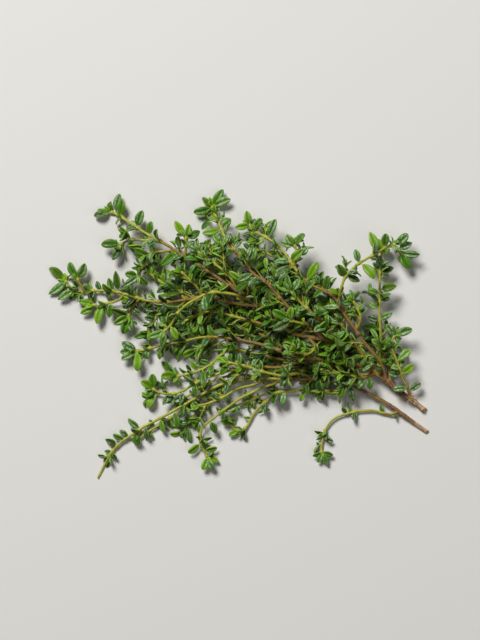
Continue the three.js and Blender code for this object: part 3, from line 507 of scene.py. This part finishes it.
class Tubes:
    """Gathers tubes and builds them as one mesh; every tube is closed at both ends."""

    def __init__(self):
        self.verts, self.faces, self.values = [], [], []
        self.count = 0

    def keep(self, verts, values):
        self.verts.append(verts)
        self.values.append(values)
        self.count += len(verts)

    def add(self, line, radii, sides, section, age, cut=False, bare=0):
        """radii: one for each ring; section(angle, length) scales it round the stem.

        A cut tube starts with a face that is cut across, where "cut" runs from 1 at its rim to 2;
        bare is its value elsewhere, for each ring or for all: 0 on bark, 1 where that has peeled off.
        """
        around = np.arange(sides) / sides * 2 * math.pi
        ahead = unit(np.gradient(line.at, axis=0))
        across, up = directions(ahead)
        scale = section(around[None, :], line.lengths[:, None])
        rim = swing(across[:, None], up[:, None], around[None, :, None])
        rings = line.at[:, None] + rim * (radii[:, None] * scale)[..., None]
        ends = [line.at[k] + ahead[k] * radii[k] * cap for k, cap in END_CAPS]
        lengths, ages, cuts = line.lengths, age, np.zeros(len(line.at)) + bare
        if cut:
            tilt = CUT_TILT * np.cos(around - CUT_FACES) + CUT_ROUGH * np.sin(5 * around)
            face = rim[0] * (radii[0] * scale[0])[:, None]
            flat = line.at[0] + face * CUT_RINGS[:, None, None]
            rings[0] -= ahead[0] * (tilt * radii[0])[:, None]
            flat = flat - ahead[0] * ((tilt * CUT_RINGS[:, None] + CUT_BEVEL) * radii[0])[..., None]
            rings = np.concatenate([flat, rings])
            ends[0] = line.at[0] - ahead[0] * CUT_BEVEL * radii[0]
            lengths = np.concatenate([0 * CUT_RINGS, lengths])
            ages = np.concatenate([0 * CUT_RINGS + 1, ages])
            cuts = np.concatenate([2 - CUT_RINGS, cuts])
        faces = closed_faces(len(rings), sides, (0, 3, 2, 1))
        self.faces += [[self.count + corner for corner in face] for face in faces]
        turns = np.tile(around, len(rings))
        along = (np.repeat(row, sides) for row in (lengths, ages, cuts))
        values = np.stack([np.cos(turns), np.sin(turns), *along], axis=1)
        values = np.vstack([values[0], values, values[-1]])
        values[0, -1] = 2 * cut
        self.keep(np.vstack([ends[0], rings.reshape(-1, 3), ends[1]]), values)

    def add_hairs(self, line, radii, ages, random):
        """Short hairs, each a closed spike with its foot in the stem; few where that is brown."""
        along = random.uniform(0, line.length, int(line.length * HAIRS))
        along = along[random.uniform(size=len(along)) > line.read(ages, along)]
        size = (len(along), 1)
        ahead = unit(line.read(np.gradient(line.at, axis=0), along))
        across, up = directions(ahead)
        around = random.uniform(0, 2 * math.pi, size)
        out = swing(across, up, around)
        foot = line.read(line.at, along) + out * HAIR_ROOT * line.read(radii, along)[:, None]
        lean = random.uniform(-HAIR_LEAN, HAIR_LEAN, size)
        tip = foot + (out + ahead * lean) * random.uniform(*HAIR_LENGTH, size)
        side = np.cross(out, ahead)
        thirds = [2 * math.pi * third / 3 for third in range(3)]
        corners = [foot + swing(ahead, side, third) * HAIR_WIDTH for third in thirds]
        for a in range(self.count, self.count + 4 * len(along), 4):
            self.faces += [[a + corner for corner in face] for face in HAIR_FACES]
        same = np.ones(size)
        values = np.hstack([np.cos(around), np.sin(around), along[:, None], same * HAIR_AGE, same * 0])
        self.keep(np.stack([*corners, tip], axis=1).reshape(-1, 3), np.repeat(values, 4, axis=0))

    def build(self):
        values = np.vstack(self.values)
        values = {"fibre": values[:, :3], "age": values[:, 3], "cut": values[:, 4]}
        return np.vstack(self.verts), self.faces, values


def square_section(around, length):
    """Young stems are four-sided with rounded edges."""
    return 1 + 0.07 * np.cos(4 * around) + 0.02 * np.sin(3 * around + 0.7 * length)


def round_section(around, length):
    return 1 + 0 * (around + length)


def flare(lengths, size, reach):
    """How much thicker a stem is near its root, or thinner near its tip."""
    return 1 + size * np.exp(-lengths / reach)


def swellings(lengths, joints, size, reach):
    """Rings where a stem is thicker, at its joints."""
    return 1 + sum(size * np.exp(-((lengths - joint) / reach) ** 2) for joint in joints)


# --- Pieces ---
def merged(first, second):
    """Two built meshes as one."""
    verts, faces, values = first
    faces = faces + [[corner + len(verts) for corner in face] for face in second[1]]
    values = {key: np.concatenate([numbers, second[2][key]]) for key, numbers in values.items()}
    return np.vstack([verts, second[0]]), faces, values


def add_object(name, data, where=(0, 0, 0)):
    made = bpy.data.objects.new(name, data)
    bpy.context.collection.objects.link(made)
    made.location = where
    return made


def add_piece(name, built_mesh, material, node):
    verts, faces, values = built_mesh
    # what would go under the surface is lifted, without crossing what lies over it
    low = verts[:, 2] < FLOOR_SOFT
    verts[low, 2] = FLOOR_SOFT * np.exp(verts[low, 2] / FLOOR_SOFT - 1)
    mesh = bpy.data.meshes.new(name)
    mesh.from_pydata(to_frame(verts).tolist(), [], faces)
    for key, numbers in values.items():
        kind, field = ("FLOAT", "value") if numbers.ndim == 1 else ("FLOAT_VECTOR", "vector")
        layer = mesh.attributes.new(key, kind, "POINT")
        layer.data.foreach_set(field, np.ascontiguousarray(numbers, dtype=np.float32).ravel())
    mesh.shade_smooth()
    mesh.materials.append(material)
    piece = add_object(name, mesh)
    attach(piece, "root")
    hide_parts(node)


# --- Materials ---
def srgb(red, green, blue):
    """A screen colour, 0 to 255, as the linear colour that shaders take."""
    shares = np.array([red, green, blue]) / 255
    linear = np.where(shares <= 0.04045, shares / 12.92, ((shares + 0.055) / 1.055) ** 2.4)
    return (*linear.tolist(), 1)


class Number:
    """What a node of a material gives, to reckon with."""

    def __init__(self, shade, socket):
        self.shade, self.socket = shade, socket

    def math(self, operation, *others):
        inputs = dict(enumerate((self, *others)))
        return self.shade.node("ShaderNodeMath", 0, inputs, operation=operation)

    def __add__(self, other):
        return self.math("ADD", other)

    def __sub__(self, other):
        return self.math("SUBTRACT", other)

    def __mul__(self, other):
        return self.math("MULTIPLY", other)


class Shade:
    """A material and short ways to add nodes to it."""

    def __init__(self, name):
        self.material = bpy.data.materials.new(name)
        self.material.use_nodes = True
        self.tree = self.material.node_tree

    def feed(self, inputs, values):
        for key, value in values.items():
            if isinstance(value, Number):
                self.tree.links.new(value.socket, inputs[key])
            else:
                inputs[key].default_value = value

    def node(self, kind, output, inputs, **settings):
        made = self.tree.nodes.new(kind)
        for key, value in settings.items():
            setattr(made, key, value)
        self.feed(made.inputs, inputs)
        return Number(self, made.outputs[output])

    def attribute(self, name, output="Fac"):
        return self.node("ShaderNodeAttribute", output, {}, attribute_name=name)

    def ease(self, value, low, high):
        """0 below low, 1 above high (or the other way round) and smooth between."""
        inputs = {"Value": value, "From Min": low, "From Max": high}
        return self.node("ShaderNodeMapRange", 0, inputs, interpolation_type="SMOOTHSTEP")

    def mix(self, share, a, b):
        return self.node("ShaderNodeMix", 2, {0: share, 6: a, 7: b}, data_type="RGBA")

    def scaled(self, vector, factors):
        return self.node("ShaderNodeVectorMath", 0, {0: vector, 1: factors}, operation="MULTIPLY")

    def noise(self, vector, scale, detail, roughness=0.5):
        inputs = {"Vector": vector, "Scale": scale, "Detail": detail, "Roughness": roughness}
        return self.node("ShaderNodeTexNoise", 0, inputs)

    def bump(self, height, depth):
        return self.node("ShaderNodeBump", 0, {"Height": height, "Distance": depth * MM, "Strength": 1})

    def finish(self, inputs):
        """The material, with its surface's inputs set."""
        self.feed(self.tree.nodes["Principled BSDF"].inputs, inputs)
        return self.material


LEAF_DEEP = srgb(2, 32, 0)
LEAF_MID = srgb(54, 112, 0)
LEAF_YOUNG = srgb(142, 190, 6)
LEAF_PALE = srgb(116, 146, 66)
# grey bloom, and also the painted sheen of leaf halves that face the light
LEAF_BLOOM_AND_SHEEN = srgb(176, 206, 166)
# the paler stalks, and pale rims: a painted highlight where light catches the rolled margin
LEAF_STALK_AND_RIM_HIGHLIGHT = srgb(186, 210, 104)
LEAF_RIB = srgb(142, 174, 72)
LATERAL_VEINS = 6


def leaf_material():
    shade = Shade("thyme_leaf")
    ease, mix = shade.ease, shade.mix
    across, along, upper, tint, young = map(shade.attribute, "across along upper tint young".split())
    second, third = ((tint * times).math("FRACT") for times in (7.31, 23.7))
    off = across.math("ABSOLUTE")
    where = shade.scaled(shade.node("ShaderNodeTexCoord", "Object", {}), (1 / MM,) * 3)
    mottle = shade.noise(where, 0.9, 3)
    fine = shade.noise(where, 6, 2)
    # side veins run forward from the rib to the rim
    wave = (along * LATERAL_VEINS - off + mottle * 0.3).math("PINGPONG", 0.5)
    vein = ease(wave, 0.09, 0) * ease(off, 0.95, 0.6)
    rib = ease(off, 0.16, 0.04)
    green = mix(ease(mottle + tint * 0.8, 0.4, 1.25), LEAF_DEEP, LEAF_MID)
    green = mix(young * 0.7 + ease(second, 0.55, 1) * 0.5, green, LEAF_YOUNG)
    # a pale patch between the rib and the rim, on some leaves more than on others: partly grey bloom,
    # partly painted sheen
    blade = ease(off, 0.1, 0.32) * ease(off, 0.8, 0.6)
    bloom_and_sheen = ease(mottle, 0.35, 0.65) * ease(third, 0.25, 0.95)
    green = mix(blade * bloom_and_sheen * 0.85 + ease(fine, 0.45, 0.75) * 0.08, green, LEAF_BLOOM_AND_SHEEN)
    # the underside is paler, with raised veins
    pale = mix(vein.math("MAXIMUM", rib) * 0.6, mix(0.5, green, LEAF_PALE), LEAF_RIB)
    green = mix(vein * 0.2, green, LEAF_DEEP)
    # a painted highlight: the rolled rim made paler, as where light catches it
    green = mix(ease(off, 0.78, 0.92) * (second * 0.6 + 0.3), green, LEAF_STALK_AND_RIM_HIGHLIGHT)
    # painted shade: a darker band along the rib, in the groove where the two halves fold up
    green = mix(rib * 0.45, green, LEAF_DEEP)
    green = mix(ease(upper, 0.2, 0.6), pale, green)
    stalk = ease(along, 0.24, 0.08)
    spots = shade.node("ShaderNodeTexVoronoi", 0, {"Vector": where, "Scale": 3.2})
    glands = ease(spots, 0.12, 0.3)
    return shade.finish({
        "Base Color": mix(stalk * 0.8, green, LEAF_STALK_AND_RIM_HIGHLIGHT),
        "Normal": shade.bump(glands * 0.5 - vein * 0.7 + fine * 0.4, 0.08),
        "Roughness": ease(fine, -0.8, 2.4),
        "Specular IOR Level": 0.25,
        "Coat Weight": 0.16,
        "Coat Roughness": 0.22,
    })


STEM_YOUNG = srgb(196, 190, 78)
STEM_GREEN = srgb(142, 152, 36)
STEM_OLIVE = srgb(132, 116, 24)
STEM_TAN = srgb(174, 138, 64)
BARK = srgb(148, 98, 60)
BARK_DARK = srgb(50, 30, 10)
BARK_RED = srgb(136, 72, 48)
BARK_PALE = srgb(214, 194, 156)
CUT_WOOD = srgb(230, 202, 164)
CUT_RING = srgb(190, 146, 100)
CUT_PITH = srgb(214, 180, 130)
HAIR = srgb(214, 220, 180)


def stem_material():
    shade = Shade("thyme_stem")
    ease, mix = shade.ease, shade.mix
    age, cut, fibre = shade.attribute("age"), shade.attribute("cut"), shade.attribute("fibre", "Vector")
    # patches, strands and ridges, all drawn out along the stem
    patches = shade.noise(shade.scaled(fibre, (0.5, 0.5, 0.16)), 1, 3)
    strands = shade.noise(shade.scaled(fibre, (3, 3, 0.35)), 1, 4, 0.65)
    fine = shade.noise(shade.scaled(fibre, (9, 9, 0.8)), 1, 3, 0.6)
    green = mix(ease(strands, 0.35, 0.65), STEM_GREEN, STEM_YOUNG)
    olive = mix(ease(strands, 0.42, 0.66), STEM_OLIVE, STEM_TAN)
    brown = mix(ease(strands, 0.36, 0.62), BARK_DARK, BARK)
    brown = mix(ease(patches, 0.42, 0.64) * 0.6, brown, BARK_RED)
    brown = mix(ease(fine, 0.5, 0.64) * 0.7, brown, BARK_PALE)
    old = age + (patches - 0.5) * 1.7
    colour = mix(ease(old, 0.5, 1), mix(ease(old, 0.15, 0.5), green, olive), brown)
    # a cut face: pale wood with darker rings, a soft pith and green under the bark
    ring = (cut * 3.5 + strands).math("PINGPONG", 0.5)
    wood = mix(ring * 1.2, CUT_WOOD, CUT_RING)
    wood = mix(ease(cut, 1.7, 1.85), wood, CUT_PITH)
    wood = mix(ease(cut, 0.9, 1) * ease(cut, 1.12, 1.04), wood, STEM_OLIVE)
    bare = cut + (strands - 0.5) * ease(cut, 0, 0.5) * 1.6
    colour = mix(ease(bare, 0.4, 0.9), colour, wood)
    return shade.finish({
        "Base Color": mix(ease(age, -0.2, -0.8), colour, HAIR),
        "Normal": shade.bump(strands + fine * 0.6, 0.12),
        "Roughness": ease(age, -1.4, 2.4),
        "Specular IOR Level": 0.3,
    })


leaf = leaf_material()
stem = stem_material()

# --- The bundle ---
BUD_LEAVES = ((0.1, 3.4, 32), (0.5, 2.8, 22), (0.8, 2.2, 10))  # past the tip, length, spread
BUD_SLENDER = 0.46
# A side shoot, between the weakest and the strongest.
TWIG_REACH = (0.5, 12.5)
REACH_POWER = 1.6  # only the strong ones reach far
TWIG_PAIRS = (1, 3.4)
TWIG_BARE = 0.25  # share of it below its first pair
TWIG_LEAF = (3.8, 9.4)
TWIG_LEAF_VARY = (0.7, 1.15)
LEAF_SHRINK = 0.4  # how much smaller the last pairs are
TWIG_SLENDER = (0.34, 0.54)
TWIG_ROLL = 0.5
TWIG_YOUNG = (0.15, 0.2)  # how young its first pair is, and how much younger each next one
TWIG_STEP = 0.9
TWIG_RADII = (0.36, 0.2)
TWIG_SIDES = 8
TWIG_BEND = 0.3  # of its reach
TWIG_RISE = 0.55  # share of its axil's rise that a twig keeps
TWIG_OPEN = 52
PAIR_CLOSING = 6  # each next pair opens less
OPEN_VARY = 12
TWIG_SKY = 0.45
AXIL_LEAN = 0.8  # how far it leans out with its leaf
TWIG_LIFT = 0.25  # and up
TWIG_BUD = ((0.1, 1.9, 26),)  # the two leaves that close a twig's tip
DROP = 0.7  # how far one between the joints hangs down
WOOD_DROP = 0.3  # and one on the wood
BETWEEN = 4.1  # spacing of those, in the thicket
TUFTED = 16  # length of a tip that is tufted with them
TUFT_START = 1.4  # their strength at its end, of which no more than 1 counts
WEAKEST = 0.2  # the least of those that grow at all
# In the joints they are weaker within a length of the tip, vary, and are greener than their stem.
TIP_ROOM = 14
LEAST_ROOM = 0.3
AXIL_VARY = (0.4, 1.15)
AXIL_WEAKEST = 0.05
TWIG_AGE = 0.4
CEILING = 27  # side shoots rise less, the nearer to this height

# How leafy the side shoots are (0 to 1) on the shoots that the thicket leaves bare.
BUSHY = {
    "long_low": 0.2, "low_second": 0.2, "low_third": 0.25, "low_fourth": 0.15, "low_fifth": 0.15,
    "hanging": 0.3, "low_right": 0.3, "trailing": 0.25, "small_loop": 0.3, "lower_left_loop": 0.3,
    "yellow_arch": 0.35, "arch": 0.45, "lower_left": 0.25, "pale_tip": 0.3,
}
BUSHY_OF_REST = 0.6
# How leafy their tips are.
TUFTS = {
    "lower_left": 0.95, "low_second": 0.95, "low_third": 0.95, "low_fourth": 0.95, "low_fifth": 0.6,
    "lower_left_loop": 0.85, "pale_tip": 0.85, "trailing": 0.3, "arch": 0.3,
}
TUFTS_OF_REST = 0.42
# The large leaves of these are smaller than the solids' faceted ones.
LEAF_SHARES = {"trailing": 0.74, "long_low": 0.84, "small_loop": 0.85, "hanging": 0.9, "low_third": 0.85}
LEAF_WIDER = 1.1  # the others are as long as those, and this much wider
# The thickets: ellipses over the middle of the bundle, its fork and the left of its wood, each
# (centre, half axes, turn in degrees).
THICKETS = (((12, 7), (76, 37), -19), ((58, -8), (27, 19), -35), ((-2, -12), (36, 12), 6))
THICKET_EDGE = 0.42  # share of one over which it thins out
# Stems that lie open on top of the bundle: most small leaves keep off them and off the large
# leaves, by this much.
OPEN_STEMS = "far_top top_middle upper_right far_left yellow_arch middle_left inner_left".split()
OPEN_STEM = 1.2
OPEN_LEAF = 1.4
OPEN_SHARE = 0.62
LEAF_CHECKS = (0.3, 0.65, 1)  # where along a leaf this is looked at


def thickness(at):
    """How thick with side shoots the bundle is at a place, 0 to 1."""
    off = 1
    for centre, axes, turn in THICKETS:
        c, s = math.cos(math.radians(turn)), math.sin(math.radians(turn))
        x, y = at[0] - centre[0], at[1] - centre[1]
        off = min(off, math.hypot((x * c + y * s) / axes[0], (y * c - x * s) / axes[1]))
    return clamp((1 - off) / THICKET_EDGE, 0, 1)


def over_open_place(base, tip):
    """Whether a leaf would lie over an open stem or a large leaf."""
    for share in LEAF_CHECKS:
        x, y, z = lerp(base, tip, share)
        for _, i, off in open_plan.find_range((x, y, 0), max(OPEN_STEM, OPEN_LEAF)):
            at, clear = open_places[i]
            if off < clear and z > at[2]:
                return True
    return False


def small_leaf(at, ahead, out, length, opening, roll, slender):
    tip = at + swing(ahead, out, opening) * length
    tip[2] = max(tip[2], LOWEST_TIP)
    return (*leaf_pose(at, tip, ahead, TWIG_SKY, roll)[:3], length * slender)


class Greenery:
    """The small leaves, buds and side shoots of one piece of the bundle."""

    def __init__(self, seed):
        self.leaves = Leaves(SMALL_LEAF, 1000 + seed)
        self.buds = Leaves(BUD_LEAF, 2000 + seed)
        self.tubes = Tubes()
        self.random = np.random.default_rng(seed)

    def add_bud(self, at, ahead, leaves, turn):
        """Pairs of young leaves that close over a tip: past the tip, length and spread of each."""
        across, up = directions(ahead, UPRIGHT_NUDGE)
        for pair, (past, length, spread) in enumerate(leaves):
            for half in HALVES:
                out = swing(across, up, turn + pair * math.pi / 2 + half)
                foot, opening = at + ahead * past, math.radians(spread)
                self.buds.add(small_leaf(foot, ahead, out, length, opening, 0, BUD_SLENDER), 1)

    def add_twig(self, at, ahead, out, lift, vigour, age):
        """A young side shoot in a leaf's axil, from a tuft of small leaves to a twig of a few pairs."""
        random = self.random
        axis = unit(ahead + AXIL_LEAN * out + UP * lift)
        reach = lerp(*TWIG_REACH, vigour ** REACH_POWER)
        pairs = round(lerp(*TWIG_PAIRS, vigour))
        bend = unit(np.cross(axis, random.normal(size=3))) * reach * TWIG_BEND
        room = clamp(1 - at[2] / CEILING, 0, 1)
        for way in (axis, bend):
            way[2] = min(way[2], way[2] * room)
        points = np.array([at, at + axis * reach * 0.5 + bend * 0.4, at + axis * (reach + 0.4) + bend])
        points[:, 2] = np.maximum(points[:, 2], FLOOR_SOFT)
        twig = Line(points, TWIG_STEP)
        turn = random.uniform(0, math.pi)
        poses = []
        for pair in range(pairs):
            share = TWIG_BARE + (1 - TWIG_BARE) * (pair + 1) / pairs
            foot, along, _, _ = twig.place(twig.length * share)
            across, up = directions(along, UPRIGHT_NUDGE)
            growth = 1 - LEAF_SHRINK * pair / TWIG_PAIRS[1]
            for half in HALVES:
                side = swing(across, up, turn + pair * math.pi / 2 + half)
                size = lerp(*TWIG_LEAF, vigour) * growth * random.uniform(*TWIG_LEAF_VARY)
                vary = random.uniform(-OPEN_VARY, OPEN_VARY)
                opening = math.radians(TWIG_OPEN - PAIR_CLOSING * pair + vary)
                roll = TWIG_ROLL * random.uniform(-1, 1)
                pose = small_leaf(foot, along, side, size, opening, roll, random.uniform(*TWIG_SLENDER))
                if random.uniform() > OPEN_SHARE or not over_open_place(*pose[:2]):
                    poses.append((pose, TWIG_YOUNG[0] + TWIG_YOUNG[1] * pair))
        if len(poses) <= pairs and pairs > 1:
            return
        for pose, young in poses:
            self.leaves.add(pose, young)
        tip, along, _, _ = twig.place(twig.length)
        self.add_bud(tip, along, TWIG_BUD, turn + pairs * math.pi / 2)
        radii = np.linspace(*TWIG_RADII, len(twig.at))
        self.tubes.add(twig, radii, TWIG_SIDES, square_section, np.full(len(radii), age))

    def add_between(self, line, drop, strength):
        """Low side shoots between the joints of a stem; strength(place, distance) is 0 to 1."""
        random = self.random
        for distance in np.arange(BARE_ROOT / 2, line.length - 2, BETWEEN):
            distance += random.uniform(-1, 1) * BETWEEN / 3
            around, vary = random.uniform(-1, 1) * math.pi / 3, random.uniform(0.5, 1)
            side = 1 if random.uniform() < 0.5 else -1
            at, ahead, across, up = line.place(distance)
            vigour = strength(at, distance) * vary
            if vigour > WEAKEST:
                self.add_twig(at, ahead, swing(side * across, up, around), -drop, vigour, 0)

    def add_pieces(self, stem_name, leaves_name, node):
        add_piece(leaves_name, merged(self.leaves.build(), self.buds.build()), leaf, node)
        add_piece(stem_name, self.tubes.build(), stem, node)


class Shoot:
    """One leafy shoot: its stem and what grows on it."""

    def __init__(self, index, name, row):
        self.root, self.spacing, brown, text = row
        points, self.reaches = (rows(part) for part in text.partition("|")[::2])
        self.name = name
        self.line = Line(points, FACET)
        self.fine = Line(points, FINE_STEP)
        self.draw = draws(index + 1)
        self.corners = tree_of([corner.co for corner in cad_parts[name].data.vertices])
        self.leaves = Leaves(FULL_LEAF, index)
        self.green = Greenery(SEED + index)
        self.joints, self.pairs = [], []
        turned = (brown * self.fine.length - self.fine.lengths) / BROWNING + BROWN_START
        self.ages = np.clip(turned, 0, OLDEST)

    def add_built(self, poses, young):
        """Adds the leaf in the pose that the solid holds, if it holds one."""
        fitting = [pose for pose in poses if self.corners.find(to_frame(pose[1]))[2] < SAME_PLACE]
        if fitting:
            foot, tip, facing, width = fitting[0]
            near = np.linalg.norm(self.fine.at - foot, axis=1).argmin()
            base, share = self.fine.at[near], LEAF_SHARES.get(self.name, 1)
            tip = lerp(base, tip, share)
            self.leaves.add((base, tip, facing, width * share * LEAF_WIDER), young)
            self.joints.append(self.fine.lengths[near])
            open_places.extend((lerp(base, tip, along), OPEN_LEAF) for along in LEAF_CHECKS)

    def grow_leaves(self):
        for goal in self.reaches:
            self.add_built(reaching_poses(self.line, goal, self.draw), YOUNG_REACHING)
        from_tip = BARE_TIPS.get(self.name, END_ROOT)
        for distance, turn, spread, size in pair_joints(self.line, self.spacing, from_tip, self.draw):
            young = clamp(1 - (self.line.length - distance) / YOUNG_TIP, 0, 1) * YOUNGEST
            for half in HALVES:
                poses = pair_poses(self.line, distance, turn + half, spread, size, self.draw)
                self.add_built(poses, young)
            self.pairs.append((distance, turn))

    def strength(self, at, distance):
        """How strong the side shoots between the joints are at a place."""
        from_tip = self.fine.length - distance
        if from_tip < BARE_TIPS.get(self.name, 0):
            return 0
        tuft = TUFTS.get(self.name, TUFTS_OF_REST) * clamp(TUFT_START - from_tip / TUFTED, 0, 1)
        return tuft if self.name in BUSHY else max(tuft, thickness(at))

    def grow_twigs(self, distance, turn):
        """Side shoots in both axils of a joint, weaker near the tip."""
        at, ahead, across, up = self.fine.place(distance)
        age = float(self.fine.read(self.ages, distance))
        room = clamp((self.fine.length - distance) / TIP_ROOM, LEAST_ROOM, 1)
        bushy = BUSHY.get(self.name) or max(BUSHY_OF_REST, thickness(at))
        self.joints.append(distance)
        for half in HALVES:
            out = unit(swing(across, up * TWIG_RISE, turn + half))
            vary = self.green.random.uniform(*AXIL_VARY)
            vigour = clamp(bushy * room * vary, AXIL_WEAKEST, 1)
            self.green.add_twig(at, ahead, out, TWIG_LIFT, vigour, age * TWIG_AGE)

    def grow_stem(self):
        lengths, length = self.fine.lengths, self.fine.length
        end = END_RADII.get(self.name, END_OF_REST) * FINE_END
        radii = lerp(self.root, end, lengths / length) * flare(lengths, *ROOT_FLARE)
        radii = radii * swellings(lengths, self.joints, *JOINT_SWELLING)
        if self.name not in BARE_TIPS:
            radii = radii * flare(length - lengths, *TIP_TAPER)
        self.green.tubes.add(self.fine, radii, STEM_SIDES, square_section, self.ages)
        self.green.tubes.add_hairs(self.fine, radii, self.ages, self.green.random)

    def grow_green(self):
        for distance, turn in self.pairs:
            self.grow_twigs(distance, turn)
        self.green.add_between(self.fine, DROP, self.strength)
        if self.name not in BARE_TIPS:
            at, ahead, _, _ = self.fine.place(self.fine.length)
            self.green.add_bud(at, ahead, BUD_LEAVES, 0.3)
        self.grow_stem()
        add_piece(f"{self.name}_leaves", self.leaves.build(), leaf, self.name)
        self.green.add_pieces(f"{self.name}_stem", f"{self.name}_small_leaves", self.name)


# The cut end of the thick stem: a knob a little way up from it, where slivers of bark peel off.
KNOBBED = "thick_woody_stem"
END_KNOB = 8.6
FIBRES = 26
FIBRE_SPREAD = 1.8
FIBRE_LENGTH = (1.2, 3.2)
FIBRE_WIDTH = (0.16, 0.06)
FIBRE_STEP = 0.6
FIBRE_SIDES = 5
FIBRE_BARE = 1.3  # they show pale wood
PEELED = 0.64  # and so does much of the wood as far as that from the cut
# The bark is browner at the cut than a way up from it.
WOOD_AGES = (1.15, 0.72)
WOOD_TURNS = 45
# Swellings of the wood, as (size, reach): knots, the flare at a cut, the knob and the waist before it.
KNOT = (0.16, 1.1)
KNOT_SPACING = 9.3
CUT_FLARE = (0.1, 1.2)
KNOB = (0.28, 1.2)
WAIST = (-0.24, 2.6)
FORK_FLARE = (0.7, 2.2)
# The waves round a section of bark: how many of each and their height in radii.
BARK_WAVES = ((2, 0.06), (3, 0.05), (5, 0.035), (7, 0.03), (11, 0.022))


def bark_section(seed):
    """Bark is ridged along the stem, a little out of round and never twice the same."""
    random = np.random.default_rng(seed)
    waves = [(k, random.uniform(0, 7), random.uniform(-0.06, 0.06), a) for k, a in BARK_WAVES]

    def section(around, length):
        return 1 + sum(a * np.sin(k * around + p + k * f * length + np.sin(0.4 * length + p))
                       for k, p, f, a in waves)
    return section


def add_fibres(tubes, line, radii, centre, random):
    """Slivers of bark that peel off round a knot of the wood."""
    for _ in range(FIBRES):
        at, ahead, across, up = line.place(centre + random.uniform(-1, 1) * FIBRE_SPREAD)
        out = swing(across, up, random.uniform(0, 2 * math.pi))
        foot = at + out * line.read(radii, centre) * 0.9
        length = random.uniform(*FIBRE_LENGTH)
        way = ahead * random.uniform(-1, 1) + across * random.uniform(-0.5, 0.5)
        middle = foot + (way * 0.6 + out * 0.3) * length
        sliver = Line([foot, middle, foot + (way + out * 0.2) * length], FIBRE_STEP)
        widths = np.linspace(*FIBRE_WIDTH, len(sliver.at))
        tubes.add(sliver, widths, FIBRE_SIDES, round_section, np.ones(len(widths)), bare=FIBRE_BARE)


def dress_wood(name, tubes, seed):
    wood = Tubes()
    green = Greenery(seed)
    cut_end = rows(tubes[0][2])[0]
    for i, (root, end, text) in enumerate(tubes):
        line = Line(rows(text), BARK_STEP)
        lengths = line.lengths
        radii = lerp(root, end, lengths / line.length)
        knots = np.arange(5.0 + 2 * i, line.length, KNOT_SPACING)
        knobbed = name == KNOBBED and i == 0
        bumps = [(knots, *KNOT)] if i else [(knots[1:], *KNOT), ([0], *CUT_FLARE)]
        if knobbed:
            bumps += [([END_KNOB], *KNOB), ([END_KNOB / 2], *WAIST)]
        for bump in bumps:
            radii = radii * swellings(lengths, *bump)
        if i:
            radii = radii * flare(lengths, *FORK_FLARE)
        if knobbed:
            add_fibres(wood, line, radii, END_KNOB, green.random)
        far = np.linalg.norm(line.at - cut_end, axis=1)
        ages = lerp(*WOOD_AGES, np.clip(far / WOOD_TURNS, 0, 1))
        peeled = PEELED * np.clip((END_KNOB + 1 - lengths) / 2, 0, 1) * (i == 0)
        wood.add(line, radii, WOOD_SIDES, bark_section(seed + i), ages, cut=i == 0, bare=peeled)
        green.add_between(line, WOOD_DROP, lambda at, _: thickness(at))
    add_piece(f"{name}_bark", wood.build(), stem, name)
    green.add_pieces(f"{name}_side_stems", f"{name}_side_leaves", name)


shoots = [Shoot(number, name, row) for number, (name, row) in enumerate(SHOOTS.items())]
# What lies open, as (place, how far to keep off it): the stems, and each large leaf once it is known.
open_places = [(at, OPEN_STEM) for shoot in shoots if shoot.name in OPEN_STEMS for at in shoot.fine.at]
for shoot in shoots:
    shoot.grow_leaves()
open_plan = tree_of([(*at[:2], 0) for at, _ in open_places])
for number, (wood_name, wood_tubes) in enumerate(WOODY.items()):
    dress_wood(wood_name, wood_tubes, 50 + 10 * number)
for shoot in shoots:
    shoot.grow_green()

# --- Stage ---
bpy.ops.mesh.primitive_circle_add(vertices=96, radius=3.0, fill_type="NGON")
floor = bpy.context.object
floor.name = "floor"
floor_material = Shade("floor").finish({"Base Color": srgb(228, 226, 221), "Roughness": 0.9})
floor.data.materials.append(floor_material)


def add_lamp(name, where, size, power):
    light = bpy.data.lights.new(name, "AREA")
    light.size, light.energy = size, power
    lamp = add_object(name, light, where)
    lamp.rotation_mode = "QUATERNION"
    lamp.rotation_quaternion = lamp.location.to_track_quat("Z", "Y")


add_lamp("key", (-0.8, 1.4, 1.75), 0.8, 60)
add_lamp("fill", (1.4, -0.9, 1.8), 1.8, 8)
scene = bpy.context.scene
scene.view_settings.view_transform = "Standard"
scene.world = bpy.data.worlds.new("studio")
scene.world.use_nodes = True
sky = scene.world.node_tree.nodes["Background"].inputs
sky["Color"].default_value = (1, 1, 1, 1)
sky["Strength"].default_value = 0.05

VIEW_CENTRE = (0.0008, 0.007)  # the middle of the picture on the surface
VIEW_SPAN = 0.32  # the picture's long side on the surface
VIEW_HEIGHT = 1.5
view = bpy.data.cameras.new("view")
view.sensor_width = 36
view.lens = view.sensor_width * VIEW_HEIGHT / VIEW_SPAN
scene.camera = add_object("view", view, (*VIEW_CENTRE, VIEW_HEIGHT))
